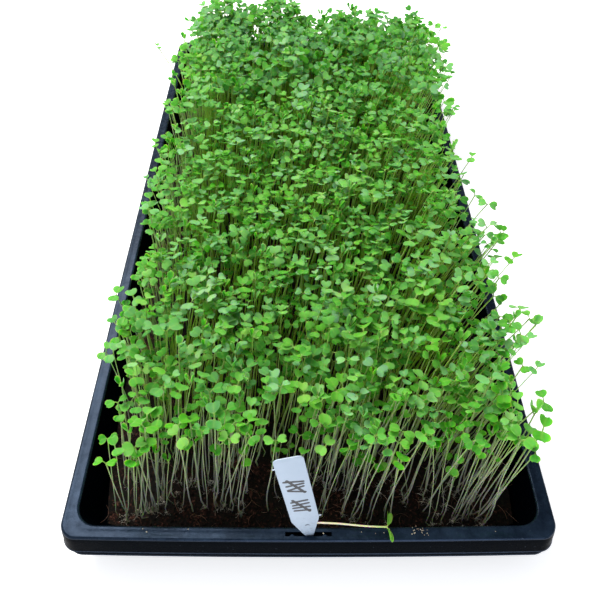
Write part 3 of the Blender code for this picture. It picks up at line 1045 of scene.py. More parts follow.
class Waves:
    """Smooth random variation over the tray, as a sum of plane waves."""

    def __init__(self, seed: int, wavelength: float, count: int = 14) -> None:
        """Draws the waves.

        Args:
            seed: the seed of the draw.
            wavelength: the typical distance between two crests, in metres.
            count: how many waves are summed.
        """
        draw = np.random.default_rng(seed)
        heading = draw.uniform(0, 2 * math.pi, count)
        number = 2 * math.pi / wavelength * draw.uniform(0.6, 1.6, count)
        self.kx, self.ky = number * np.cos(heading), number * np.sin(heading)
        self.phase = draw.uniform(0, 2 * math.pi, count)
        self.scale = math.sqrt(2 / count)

    def at(self, x: np.ndarray, y: np.ndarray) -> np.ndarray:
        """The variation at each place.

        Args:
            x: places across the tray.
            y: places along it.

        Returns:
            The variation, about normal with a spread of one.
        """
        total = np.zeros_like(x)
        for kx, ky, phase in zip(self.kx, self.ky, self.phase):
            total += np.cos(kx * x + ky * y + phase)
        return total * self.scale


def spaced_points(draw: np.random.Generator, low: Pair, high: Pair, gap: float, tries: int) -> np.ndarray:
    """Random points that keep a distance from each other.

    Args:
        draw: the random source.
        low: the lowest x and y.
        high: the highest x and y.
        gap: the least distance between two points.
        tries: how many points are tried.

    Returns:
        One row of x and y for each point kept.
    """
    cells: dict[tuple[int, int], list[np.ndarray]] = {}
    kept = []
    for candidate in draw.uniform(low, high, (tries, 2)):
        cx, cy = int(math.floor(candidate[0] / gap)), int(math.floor(candidate[1] / gap))
        near = [p for i in (-1, 0, 1) for j in (-1, 0, 1) for p in cells.get((cx + i, cy + j), ())]
        if any((p[0] - candidate[0]) ** 2 + (p[1] - candidate[1]) ** 2 < gap * gap for p in near):
            continue
        cells.setdefault((cx, cy), []).append(candidate)
        kept.append(candidate)
    return np.array(kept)


def on_surface(surface: BVHTree, flat: np.ndarray) -> np.ndarray:
    """Drops points, rows of x and y, onto a surface.

    Args:
        surface: the surface.
        flat: the points.

    Returns:
        Rows of x, y and the surface's height there.
    """
    places = []
    for x, y in flat:
        hit = surface.ray_cast(Vector((x, y, 1.0)), Vector((0, 0, -1)))[0]
        if hit is not None:
            places.append((x, y, hit.z))
    return np.array(places)


# --- coir -----------------------------------------------------------------------------
@dataclass
class CoirBed:
    """The slab of coir: a rough surface, crumbs of pith, loose fibres."""

    slab_finish: Material
    fibre_finish: Material
    level: float
    rim: float
    bottom: float
    top_half_x: float
    bottom_half_x: float
    cells: tuple[int, int] = (84, 172)
    roughness: float = 0.0026
    lump: float = 0.012
    noise_seed: float = 3.0
    corner_cut: float = 0.0036
    shrinkage: float = 0.0034
    sharp: float = 50.0
    crumb_radius: float = 0.00075
    fibre_radius: float = 0.00015
    crumb_tries: int = 3600
    fibre_tries: int = 620
    wall_gap: float = 0.002
    # Where the spilled crumbs lie: the heap's middle and spread, and the lone ones' lowest and highest y.
    heap: tuple[Pair, Pair] = ((0.0625, -0.2672), (0.0024, 0.0016))
    heaped: int = 20
    lone: int = 10
    lone_half_x: float = 0.110
    lone_y: Pair = (-0.2695, -0.2655)

    def slab(self) -> Mesh:
        """The slab with a flat top; its attribute, skin, is 1 where the top may be rough."""
        bm = bmesh.new()
        bmesh.ops.create_grid(bm, x_segments=self.cells[0], y_segments=self.cells[1], size=1.0)
        skin = bm.verts.layers.float.new("skin")
        half_y = self.top_half_x + END_EXTRA
        for vert in bm.verts:
            x, y = vert.co.x, vert.co.y
            vert[skin] = min(1.0, (1.0 - max(abs(x), abs(y))) / 0.02)
            cut = self.corner_cut * max(0.0, abs(x) + abs(y) - 1) ** 8
            # The slab has dried and shrunk away from the wall at its near left corner.
            shrink = self.shrinkage * max(0.0, -y) ** 6 * max(0.0, -x) ** 3
            vert.co.x = x * self.top_half_x - math.copysign(cut, x) + shrink
            vert.co.y = y * half_y - math.copysign(cut, y)
            vert.co.z = self.level
        rim = [edge for edge in bm.edges if edge.is_boundary]
        sides = bmesh.ops.extrude_edge_only(bm, edges=rim)["geom"]
        for item in sides:
            if isinstance(item, BMVert):
                item.co.x *= self.bottom_half_x / self.top_half_x
                item.co.y *= (self.bottom_half_x + END_EXTRA) / half_y
                item.co.z = self.bottom
                item[skin] = 0.0
        bmesh.ops.contextual_create(bm, geom=[item for item in sides if isinstance(item, BMEdge)])
        return outwards_mesh(bm, "coir_slab")

    def roughening(self) -> Growth:
        """A tree that raises the slab's skin by noise."""
        tree = Growth("roughen_coir", dict.fromkeys(("Height", "Lump", "Seed"), "Float"))
        scale = tree.add(Node.DIVIDE, 1.0, tree.given["Lump"])
        noise = tree.add(Node.NOISE_4D, tree.given["Seed"], scale, 5.0, 0.62)
        share = tree.add(Node.MULTIPLY, tree.add(Node.SUBTRACT, noise, 0.5), tree.add(Node.FIELD, "skin"))
        rise = tree.add(Node.MULTIPLY, share, tree.given["Height"])
        tree.end(tree.add(Node.MOVE, tree.given["Geometry"], tree.add(Node.VECTOR, 0.0, 0.0, rise)))
        return tree

    def crumb_shapes(self) -> list[Mesh]:
        """Lumps of pith about 1 mm across, of twenty faces each."""
        draw = np.random.default_rng(8)
        meshes = []
        for index in range(5):
            bm = bmesh.new()
            bmesh.ops.create_icosphere(bm, subdivisions=1, radius=self.crumb_radius)
            for vert in bm.verts:
                vert.co *= draw.uniform(0.6, 1.35)
                vert.co.z *= 0.75
            meshes.append(mesh_from(bm, f"crumb_{index}"))
        return meshes

    def fibre_shapes(self) -> list[Mesh]:
        """Curved fibres 6 to 13 mm long, with three sides."""
        draw = np.random.default_rng(9)
        meshes = []
        for index in range(6):
            length, curl = draw.uniform(0.006, 0.013), draw.uniform(-1.4, 1.4)
            lift = draw.uniform(0.0004, 0.0022)
            line = []
            for t in (step / 5 - 0.5 for step in range(6)):
                line.append(Vector((length * t, length * curl * t * t, lift * (1 - 4 * t * t))))
            meshes.append(thread_mesh(f"fibre_{index}", line, self.fibre_radius))
        return meshes

    def density(self, places: np.ndarray) -> np.ndarray:
        """How much loose stuff shows: most at the near end and along the walls.

        Args:
            places: rows of x and y.

        Returns:
            The share of it at each place.
        """
        near = np.clip((-0.205 - places[:, 1]) / 0.03, 0, 1)
        walls = np.clip((np.abs(places[:, 0]) - 0.098) / 0.015, 0, 1)
        return np.clip(0.20 + near + 0.5 * walls, 0, 1)

    def spill(self, sow: Growth) -> None:
        """Builds the dry crumbs that lie on the near flange, most of them in one small heap.

        Args:
            sow: the sowing tree.
        """
        draw = np.random.default_rng(33)
        heap = draw.normal(*self.heap, (self.heaped, 2))
        along = draw.uniform(-self.lone_half_x, self.lone_half_x, self.lone)
        flat = np.concatenate([heap, np.stack([along, draw.uniform(*self.lone_y, self.lone)], 1)])
        count = len(flat)
        fields = {
            "shape": draw.integers(0, 5, count),
            "turn": draw.uniform(0, FULL_TURN, (count, 3)),
            "size": even_sizes(draw, 0.25, 0.62, count),
            "tint": draw.uniform(0.6, 1.1, count),
        }
        places = np.concatenate([flat, np.full((count, 1), self.rim + 0.0002)], 1)
        shapes = self.crumb_shapes()
        place_piece(scatter("spilled_crumbs", sow, shapes, self.fibre_finish, places, fields), "coir")

    def build(self, sow: Growth) -> BVHTree:
        """Builds the slab, its crumbs and its fibres.

        Args:
            sow: the sowing tree.

        Returns:
            The slab's surface, to stand other things on.
        """
        slab = new_object("coir_slab", self.slab())
        values = {"Height": self.roughness, "Lump": self.lump, "Seed": self.noise_seed}
        self.roughening().grow(slab, {**values, "Finish": self.slab_finish})
        drop_field(slab.data, "skin")
        smooth_between(slab.data, self.sharp)
        place_piece(slab, "coir", "coir_bed")
        surface = BVHTree.FromObject(slab, bpy.context.evaluated_depsgraph_get())
        half = (self.top_half_x - self.wall_gap, self.top_half_x + END_EXTRA - self.wall_gap)
        for name, shapes, finish, tries, gap, seed, sizes in (
            ("coir_crumbs", self.crumb_shapes(), self.slab_finish, self.crumb_tries, 0.0016, 31, (0.5, 1.7)),
            ("coir_fibres", self.fibre_shapes(), self.fibre_finish, self.fibre_tries, 0.0030, 32, (0.6, 1.2)),
        ):
            draw = np.random.default_rng(seed)
            flat = spaced_points(draw, (-half[0], -half[1]), half, gap, tries * 3)
            flat = flat[draw.uniform(size=len(flat)) < self.density(flat)][:tries]
            places = on_surface(surface, flat)
            count = len(places)
            picks = draw.integers(0, len(shapes), count)
            tilts = [draw.normal(0, 0.2, count), draw.normal(0, 0.2, count)]
            fields = {
                "shape": picks,
                "turn": np.stack([*tilts, draw.uniform(0, FULL_TURN, count)], 1),
                "size": even_sizes(draw, *sizes, count),
                "tint": draw.beta(1.2, 2.2, count),
            }
            piece = scatter(name, sow, shapes, finish, places, fields)
            piece.data.shade_smooth()
            place_piece(piece, "coir")
        self.spill(sow)
        return surface


# --- sprouts --------------------------------------------------------------------------
class Detail(Enum):
    """How finely a sprout is built: (stem sides, stem steps, places across a leaf, blade steps)."""

    CROWD = (4, 5, (-1.0, 0.0, 1.0), 5)
    EDGE = (5, 9, (-1.0, -0.5, 0.0, 0.5, 1.0), 6)
    SPECIMEN = (8, 16, (-1.0, -0.7, -0.3, 0.0, 0.3, 0.7, 1.0), 12)


@dataclass(frozen=True)
class SeedLeaf:
    """One seed leaf of broccoli: a short stalk and a broad blade with a notch in its tip."""

    width: float
    length: float
    stalk: float
    pitch: float  # radians above level, where the blade starts
    droop: float  # radians that it bends down towards its tip
    fold: float  # how much its halves rise from the midrib
    notch: float = 0.22
    twist: float = 0.0
    thickness: float = 0.00042
    stalk_width: float = 0.34 * MM
    stalk_thickness: float = 0.00030
    stalk_rise: float = math.radians(52)

    def outline(self, share: float) -> float:
        """Half the blade's width at a share of its length, as a share of its greatest."""
        places = (0.0, 0.08, 0.22, 0.42, 0.62, 0.80, 0.93, 1.0)
        widths = (0.12, 0.42, 0.74, 0.94, 1.0, 0.93, 0.70, 0.40)
        return float(np.interp(share, places, widths))


@dataclass(frozen=True)
class Station:
    """One place along a seed leaf: where, which way it runs, how wide, how far along, and blade or stalk."""

    place: Vector
    heading: Vector
    wide: float
    share: float
    blade: float


class SproutBuilder:
    """Builds sprouts: one closed stem and two closed seed leaves that share one mesh."""

    def __init__(self, detail: Detail, radius: float) -> None:
        """Starts a mesh.

        Args:
            detail: how finely the sprout is built.
            radius: the stem's radius in metres.
        """
        self.sides, self.steps, self.across, self.blade_steps = detail.value
        self.radius = radius
        self.bm = bmesh.new()
        floats = self.bm.verts.layers.float
        self.layers = [floats.new(name) for name in ("along", "blade", "rib", "upper")]

    def vert(self, place: Vector, *values: float) -> BMVert:
        """Adds a point with the values that the finish reads: along, blade, rib and upper."""
        made = self.bm.verts.new(place)
        for layer, value in zip(self.layers, values):
            made[layer] = value
        return made

    def stem(self, line: list[Vector]) -> None:
        """Builds the stem, with a small bud at its top.

        Args:
            line: the points that it follows.
        """
        last = len(line) - 1
        rings = []
        tip = line[-1] + (line[-1] - line[-2]).normalized() * (1.6 * self.radius)
        for index, point in enumerate(line + [tip]):
            share = min(1.0, index / last)
            before, after = line[max(index - 1, 0)], line[min(index + 1, last)]
            tangent = (after - before).normalized() if index <= last else (tip - line[-1]).normalized()
            side = Vector((0, 1, 0)).cross(tangent)
            side = side.normalized() if side.length > 0.2 else Vector((1, 0, 0))
            other = tangent.cross(side)
            thick = self.radius * (1.12 - 0.22 * share + 0.30 * max(0.0, share - 0.93) / 0.07)
            if index > last:
                thick = self.radius * 0.35
            ring = []
            for corner in range(self.sides):
                angle = 2 * math.pi * (corner + 0.5) / self.sides
                place = point + side * (thick * math.cos(angle)) + other * (thick * math.sin(angle))
                ring.append(self.vert(place, share, 0.0, 0.0, 1.0))
            rings.append(ring)
        skin_rings(self.bm, rings)

    def stations(self, leaf: SeedLeaf, node: Vector, outwards: Vector, upwards: Vector) -> list[Station]:
        """The places along a seed leaf, from the foot of its stalk to its tip.

        Args:
            leaf: its shape.
            node: where its stalk leaves the stem.
            outwards: the direction it grows in, square to upwards.
            upwards: the direction that counts as up for it.

        Returns:
            The places in order.
        """
        stations = []
        fine = self.blade_steps > 5
        place = node - upwards * (0.4 * self.radius)
        wide = leaf.stalk_width / (leaf.width / 2)
        for share, part in ((0.0, 0.6), (0.6, 0.4), (1.0, 0.0)) if fine else ((0.0, 1.0), (1.0, 0.0)):
            rise = leaf.stalk_rise * (1 - 0.55 * share) + leaf.pitch * share
            heading = outwards * math.cos(rise) + upwards * math.sin(rise)
            stations.append(Station(place, heading, wide, 0.0, 0.35))
            place = place + heading * (leaf.stalk * part)
        for step in range(1, self.blade_steps + 1):
            share = step / self.blade_steps
            angle = leaf.pitch - leaf.droop * share
            heading = outwards * math.cos(angle) + upwards * math.sin(angle)
            place = place + heading * (leaf.length / self.blade_steps)
            stations.append(Station(place, heading, leaf.outline(share), share, 1.0))
        return stations

    def leaf(self, leaf: SeedLeaf, node: Vector, outwards: Vector, upwards: Vector) -> None:
        """Builds one seed leaf.

        Args:
            leaf: its shape.
            node: where its stalk leaves the stem.
            outwards: the level direction it grows in.
            upwards: the direction that counts as up for it.
        """
        outwards = (outwards - upwards * outwards.dot(upwards)).normalized()
        across = Matrix.Rotation(leaf.twist, 3, outwards) @ upwards.cross(outwards).normalized()
        rings = []
        for at in self.stations(leaf, node, outwards, upwards):
            normal = at.heading.cross(across).normalized()
            if normal.dot(upwards) < 0:
                normal = -normal
            half = leaf.width / 2 * at.wide
            top, bottom = [], []
            for f in self.across:
                back = leaf.notch * leaf.length * (1 - abs(f)) ** 1.2 * max(0.0, (at.share - 0.7) / 0.3)
                lift = leaf.fold * half * abs(f) ** 1.4
                middle = at.place + across * (half * f) - at.heading * back + normal * lift
                thick = leaf.thickness / 2 * (1 - 0.75 * abs(f))
                if at.blade < 0.5:
                    thick = leaf.stalk_thickness * (1 - abs(f))
                values = (1.0, min(1.0, at.blade + at.share), 1 - abs(f))
                if abs(f) == 1.0:
                    top.append(self.vert(middle, *values, 0.6))
                else:
                    top.append(self.vert(middle + normal * thick, *values, 1.0))
                    bottom.append(self.vert(middle - normal * thick, *values, 0.0))
            rings.append(top + bottom[::-1])
        skin_rings(self.bm, rings)
        # The blade's two edges stay sharp.
        for ring, following in zip(rings, rings[1:]):
            for side in (0, len(self.across) - 1):
                edge = self.bm.edges.get((ring[side], following[side]))
                if edge is not None:
                    edge.smooth = False


def stem_line(root: Vector, tip: Vector, bend: float, steps: int, sway: Vector, kink: float) -> list[Vector]:
    """Points of a stem from its root to its leaves.

    Args:
        root: where it starts, a little under the coir.
        tip: where the seed leaves sit.
        bend: over 1 it leans late, under 1 early.
        steps: how many steps it has.
        sway: how far its middle bows to the side.
        kink: how far it jogs sideways just above the coir.

    Returns:
        The points.
    """
    points = []
    for t in (step / steps for step in range(steps + 1)):
        point = root.lerp(tip, t)
        sideways = t**bend - t
        point.x += (tip.x - root.x) * sideways
        point.y += (tip.y - root.y) * sideways
        point += sway * math.sin(math.pi * t) + sway * (0.5 * math.sin(2.2 * math.pi * t + 0.6))
        point.x += kink * math.exp(-(((t - 0.12) / 0.07) ** 2))
        points.append(point)
    return points


def drawn_leaf(draw: np.random.Generator, size: float) -> SeedLeaf:
    """Draws one seed leaf of the usual kind.

    Args:
        draw: the random source.
        size: how large it is beside a usual one.

    Returns:
        The leaf's shape.
    """
    return SeedLeaf(
        width=size * draw.uniform(0.0061, 0.0084),
        length=size * draw.uniform(0.0050, 0.0064),
        stalk=draw.uniform(0.0008, 0.0028),
        pitch=draw.uniform(-0.10, 0.36),
        droop=draw.uniform(-0.05, 0.50),
        fold=draw.uniform(0.06, 0.40),
        notch=draw.uniform(0.16, 0.34),
        twist=draw.uniform(-0.32, 0.32),
    )


class Kind(Enum):
    """A kind of sprout shape: (how many, detail, leaf size, how far its leaves turn to the far end)."""

    CROWD = (18, Detail.CROWD, 1.0, 0.18)
    NEAR = (16, Detail.EDGE, 0.97, 0.27)
    FAR = (16, Detail.CROWD, 1.20, -0.14)
    SIDE = (10, Detail.EDGE, 0.98, 0.03)


@dataclass
class SproutLibrary:
    """The sprout shapes that the crop is sown from, kind by kind."""

    height: float = 0.066
    folded: int = 2  # of each kind, young ones with their leaves still half shut
    stem_radius: float = 0.00035
    buried: float = 0.002

    def shape(self, index: int, kind: Kind, within: int) -> Mesh:
        """Builds one shape of the library's height, standing on the origin.

        Args:
            index: its place in the library, which seeds it.
            kind: its kind.
            within: its place in its kind.

        Returns:
            The mesh.
        """
        count, detail, leaf_size, toward = kind.value
        loose = 1.4 if detail is Detail.EDGE else 1.0
        draw = np.random.default_rng(500 + index)
        builder = SproutBuilder(detail, self.stem_radius * draw.uniform(0.85, 1.2))
        sway = Vector((draw.normal(0, 0.0016), draw.normal(0, 0.0016), 0)) * loose
        root, tip = Vector((0, 0, -self.buried)), Vector((0, 0, self.height))
        line = stem_line(root, tip, 1.0, builder.steps, sway, draw.normal(0, 0.0013) * loose)
        builder.stem(line)
        # The near ones turn to the light at the far end; farther off they spread all ways.
        upwards = Vector((0.06 + draw.normal(0, 0.12), toward + draw.normal(0, 0.18), 1)).normalized()
        for side in (0.0, math.pi):
            leaf = drawn_leaf(draw, leaf_size)
            if within < self.folded:
                pitch = draw.uniform(0.8, 1.2)
                leaf = replace(leaf, width=leaf.width * 0.72, pitch=pitch, fold=0.7, droop=-0.2)
            angle = math.pi * within / count + side + draw.normal(0, 0.20)
            builder.leaf(leaf, line[-1], Vector((math.cos(angle), math.sin(angle), 0)), upwards)
        return outwards_mesh(builder.bm, f"sprout_shape_{index:02d}")

    def build(self) -> list[Mesh]:
        """Builds every shape."""
        owners = [(kind, within) for kind in Kind for within in range(kind.value[0])]
        return [self.shape(index, *owner) for index, owner in enumerate(owners)]


def near_end(y: np.ndarray) -> np.ndarray:
    """One at the near end of the crop, zero from there on."""
    return np.clip((-0.140 - y) / 0.100, 0, 1)


def right_half(x: np.ndarray) -> np.ndarray:
    """One on the right half of the tray, zero on most of the left."""
    return np.clip((x + 0.030) / 0.030, 0, 1)


@dataclass(frozen=True)
class Extra:
    """Sprouts that are added in one stretch of the tray."""

    count: int
    low: Pair
    high: Pair
    heights: Pair | None = None  # lowest and highest, where they aren't the usual ones
    thinned: bool = False  # by the bare spots


@dataclass
class Crop:
    """The dense part of the crop, sown in rows along the tray."""

    finish: Material
    rows: int = 9
    row_span: Pair = (-0.2360, 0.2500)
    low: Pair = (-0.1135, -0.2375)  # of the dense part's roots
    high: Pair = (0.1075, 0.2500)
    gap: float = 0.0037
    tries: int = 40000
    mean_height: float = 0.0690
    front_extra: float = 0.0050
    bend: float = 1.25
    seed: int = 77
    # Bare spots near the front: x, y and radius.
    bare: tuple[Point, ...] = ((-0.076, -0.214, 0.009), (-0.027, -0.232, 0.012), (0.063, -0.226, 0.010))
    # Bunches along the near edge: x, y, sprouts, spread, lean to the right, height.
    bunches: tuple[tuple[float, float, int, float, float, float], ...] = (
        (-0.1095, -0.2525, 4, 0.0030, 0.004, 0.074),
        (-0.1010, -0.2480, 4, 0.0035, 0.007, 0.072),
        (-0.1030, -0.2480, 1, 0.0010, 0.003, 0.041),
        (-0.0975, -0.2465, 1, 0.0010, 0.002, 0.056),
        (-0.0850, -0.2480, 1, 0.0010, 0.006, 0.050),
        (-0.0760, -0.2460, 1, 0.0010, 0.010, 0.055),
        (-0.0925, -0.2500, 3, 0.0025, 0.004, 0.073),
        (-0.0905, -0.2440, 1, 0.0010, 0.004, 0.043),
        (-0.0865, -0.2390, 4, 0.0035, 0.003, 0.066),
        (-0.0800, -0.2418, 1, 0.0010, 0.012, 0.070),
        (-0.0640, -0.2450, 2, 0.0020, 0.001, 0.074),
        (-0.0650, -0.2340, 6, 0.0050, 0.005, 0.070),
        (-0.0525, -0.2465, 4, 0.0020, 0.007, 0.075),
        (-0.0485, -0.2470, 2, 0.0015, 0.013, 0.073),
        (-0.0410, -0.2483, 2, 0.0018, 0.015, 0.078),
        (-0.0430, -0.2410, 3, 0.0025, 0.010, 0.066),
        (-0.0175, -0.2394, 1, 0.0010, 0.002, 0.040),
        (0.0085, -0.2480, 4, 0.0022, 0.014, 0.072),
        (0.0215, -0.2497, 2, 0.0015, 0.010, 0.070),
        (0.0280, -0.2528, 3, 0.0022, 0.009, 0.070),
        (0.0358, -0.2545, 2, 0.0015, 0.010, 0.066),
        (0.0444, -0.2545, 2, 0.0015, 0.001, 0.072),
        (0.0250, -0.2340, 5, 0.0080, 0.008, 0.070),
        (0.0430, -0.2325, 1, 0.0010, 0.037, 0.066),
        (0.0575, -0.2400, 3, 0.0025, 0.006, 0.060),
        (0.0590, -0.2450, 1, 0.0010, 0.002, 0.030),
        (0.0706, -0.2394, 2, 0.0020, 0.004, 0.068),
        (0.0770, -0.2532, 3, 0.0025, -0.002, 0.066),
        (0.0800, -0.2500, 1, 0.0010, 0.004, 0.026),
        (0.0870, -0.2540, 3, 0.0025, 0.010, 0.060),
        (0.0975, -0.2525, 12, 0.0050, 0.016, 0.076),
        (0.0950, -0.2420, 8, 0.0060, 0.014, 0.074),
    )
    # How far the outermost tops hang over each wall, at places along the tray.
    over_right: tuple[tuple[float, ...], tuple[float, ...]] = (
        (-0.240, -0.200, -0.170, -0.125, -0.060, 0.050, 0.120, 0.240),
        (0.006, 0.011, 0.0185, 0.0175, 0.010, 0.011, 0.017, 0.024),
    )
    over_left: tuple[tuple[float, ...], tuple[float, ...]] = (
        (-0.230, -0.150, 0.100, 0.240),
        (0.0080, 0.0110, 0.0115, 0.0070),
    )
    far_span: Pair = (0.0, 0.180)  # where the far kind takes over
    extras: tuple[Extra, ...] = (
        # More stand along the right wall towards the far end.
        Extra(70, (0.092, 0.100), (0.1075, 0.245)),
        # Others fill the left side, where the crop ends on a close front of stems.
        Extra(110, (-0.1135, -0.200), (-0.090, 0.235)),
        Extra(280, (-0.1135, 0.226), (0.1075, 0.2555), (0.038, 0.082)),
        # Small ones stand below the others on the right, where the crop leans out, and at the near edge.
        Extra(190, (0.012, -0.208), (0.1075, 0.130), (0.036, 0.058)),
        Extra(28, (-0.100, -0.247), (0.104, -0.214), (0.030, 0.060), thinned=True),
        # And others close the far edge below the tops.
        Extra(110, (-0.1135, 0.243), (0.1075, 0.2555), (0.038, 0.062)),
    )
    # How much height, lean and leaves vary from sprout to sprout.
    height_spread: float = 0.0046
    height_wave: float = 0.0032
    lean_spread: Pair = (0.0034, 0.0028)
    lean_wave: Pair = (0.0036, 0.0025)
    low_share: float = 0.38
    tall_share: float = 0.08
    late_share: float = 0.04
    large_share: float = 0.12
    tallest_over: float = 0.0120

    def bunched(self, draw: np.random.Generator) -> np.ndarray:
        """Draws the sprouts of the bunches.

        Args:
            draw: the random source.

        Returns:
            Rows of x, y, lean to the right and height.
        """
        rows = []
        for x, y, count, spread, lean, height in self.bunches:
            for _ in range(count):
                place = draw.normal((x, y), (spread, spread * 0.6))
                rows.append((*place, lean + draw.normal(0, 0.0034), height * draw.uniform(0.84, 1.12)))
        return np.array(rows)

    def left_standing(self, x: np.ndarray, y: np.ndarray) -> np.ndarray:
        """How many of the sprouts the bare spots leave.

        Args:
            x: places across the tray.
            y: places along it.

        Returns:
            The share of them at each place.
        """
        share = np.ones_like(x)
        for bare_x, bare_y, radius in self.bare:
            away = np.hypot(x - bare_x, (y - bare_y) * 0.8) / radius
            share *= np.clip(away - 0.4, 0.02, 1)
        return share

    def density(self, x: np.ndarray, y: np.ndarray) -> np.ndarray:
        """How closely the sprouts stand.

        Args:
            x: places across the tray.
            y: places along it.

        Returns:
            The share of places that hold one.
        """
        share = 0.72 + 0.32 * Waves(self.seed, 0.034).at(x, y) + 0.14 * Waves(self.seed + 1, 0.016).at(x, y)
        share += 0.28 * np.clip((y - self.far_span[1]) / 0.03, 0, 1)
        share *= 0.38 + 0.62 * np.clip((y + 0.238) / 0.026, 0, 1)
        return np.clip(share * self.left_standing(x, y), 0, 1)

    def roots(self, draw: np.random.Generator) -> list[np.ndarray]:
        """Draws the places of the sprouts besides the bunches.

        Args:
            draw: the random source.

        Returns:
            Rows of x and y, first of the dense part and then of each stretch with added ones.
        """
        flat = spaced_points(draw, self.low, self.high, self.gap, self.tries)
        groups = [flat[draw.uniform(size=len(flat)) < self.density(*flat.T)]]
        for extra in self.extras:
            group = draw.uniform(extra.low, extra.high, (extra.count, 2))
            if extra.thinned:
                group = group[draw.uniform(size=len(group)) < self.left_standing(*group.T)]
            groups.append(group)
        return groups

    def heights(
        self, draw: np.random.Generator, x: np.ndarray, y: np.ndarray, groups: list[np.ndarray]
    ) -> np.ndarray:
        """Draws the sprouts' heights.

        Args:
            draw: the random source.
            x: their places across the tray.
            y: their places along it.
            groups: the roots that roots() drew.

        Returns:
            The heights.
        """
        count = len(x)
        usual = self.mean_height + self.front_extra * near_end(y)
        height = usual + self.height_wave * Waves(self.seed + 2, 0.060).at(x, y)
        height += draw.normal(0, self.height_spread, count)
        lower = draw.uniform(size=count) < self.low_share
        height[lower] *= draw.uniform(0.62, 0.92, int(lower.sum()))
        above = draw.uniform(size=count) < self.tall_share
        height[above] += draw.uniform(0.004, 0.010, int(above.sum()))
        height = np.minimum(height, usual + self.tallest_over)
        end = sum(map(len, groups))
        for extra, group in zip(self.extras[::-1], groups[::-1]):
            start = end - len(group)
            if extra.heights is not None:
                height[start:end] = draw.uniform(*extra.heights, len(group))
            end = start
        # The far end is lower on its right.
        height -= np.clip((y - 0.190) / 0.040, 0, 1) * (0.0015 + 0.0120 * right_half(x))
        late = draw.uniform(size=count) < self.late_share
        height[late] = draw.uniform(0.022, 0.050, int(late.sum()))
        return height

    def sow(self) -> dict[str, np.ndarray]:
        """Draws the sprouts.

        Returns:
            Arrays by name: x, y, height, lean, and what the tree and the finish need.
        """
        draw = np.random.default_rng(self.seed)
        groups = self.roots(draw)
        bunched = self.bunched(draw)
        x, y = np.concatenate([*groups, bunched[:, :2]]).T
        x, y = np.clip(x, -0.1140, 0.1090), np.maximum(y, -0.2560)
        count, own = len(x), slice(-len(bunched), None)
        height = self.heights(draw, x, y, groups)
        left = np.clip((-0.082 - x) / 0.030, 0, 1)
        right = np.clip((x - 0.050) / 0.055, 0, 1)
        lean_x = 0.0080 - np.interp(y, *self.over_left) * left + np.interp(y, *self.over_right) * right
        sideways = Waves(self.seed + 3, 0.075).at(x, y)
        lean_x += self.lean_wave[0] * sideways * (1 - 0.7 * left) + draw.normal(0, self.lean_spread[0], count)
        lean_y = 0.004 + 0.006 * near_end(y)
        lean_y = lean_y + 0.010 * np.clip((y - 0.19) / 0.06, 0, 1) * (1 - 0.8 * right_half(x))
        forwards = Waves(self.seed + 4, 0.075).at(x, y)
        lean_y = lean_y + self.lean_wave[1] * forwards + draw.normal(0, self.lean_spread[1], count)
        share = height / self.mean_height
        breadth = np.clip(draw.normal(0.93, 0.12, count), 0.66, 1.20)
        # A few have grown much larger leaves than the rest.
        breadth *= np.where(draw.uniform(size=count) < self.large_share, 1.22, 1.0)
        height[own], lean_x[own], share[own] = bunched[:, 3], bunched[:, 2], 1.0
        lean_y[own] = draw.normal(0.0155, 0.0055, len(bunched))
        # Painted light and shade: the tops that stand out get paler leaves with more bloom colour, those
        # below darker ones, and the leaves darken towards the far end.
        over = height - self.mean_height - self.front_extra * near_end(y)
        raised = np.clip(over / 0.0085, -1.6, 1.2)
        yaw = draw.normal(0, 0.22, count)
        tint = 0.40 + 0.10 * raised - 0.24 * np.clip((y - 0.05) / 0.12, 0, 1)
        tint = tint + 0.08 * Waves(self.seed + 5, 0.05).at(x, y) + draw.normal(0, 0.15, count)
        bloom = draw.beta(1.1, 2.9, count) * (1 + 0.5 * raised)
        # A stem's own tilt would undo its lean, so it is slight.
        tilt = draw.normal(0, 0.13, (count, 2)) * 0.25
        return {
            "x": x,
            "y": y,
            "height": height,
            "breadth": breadth * np.clip(0.72 + 0.28 * height / self.mean_height, 0.62, 1.05),
            "turn": np.column_stack([tilt, yaw]),
            "lean": np.stack([lean_x * share, lean_y * share, np.zeros(count)], 1),
            "tint": np.clip(tint, 0, 1),
            "bloom": np.clip(bloom, 0, 1),
            # Painted shade: how far each stem's colour turns greener inside the crop.
            "shade": np.clip(np.minimum((y + 0.232) / 0.050, (0.116 - np.abs(x)) / 0.022), 0, 1),
            "pick": draw.integers(0, 10_000, count),
        }

    def build(self, surface: BVHTree, sow: Growth, library: SproutLibrary) -> np.ndarray:
        """Builds the crop, one piece for each row of CAD clumps.

        Args:
            surface: the coir's surface.
            sow: the sowing tree.
            library: the sprout shapes.

        Returns:
            The places of all roots.
        """
        plan = self.sow()
        x, y, pick = plan["x"], plan["y"], plan["pick"]
        places = on_surface(surface, np.stack([x, y], 1))
        shapes = library.build()
        kinds = list(Kind)
        counts = np.array([kind.value[0] for kind in kinds])
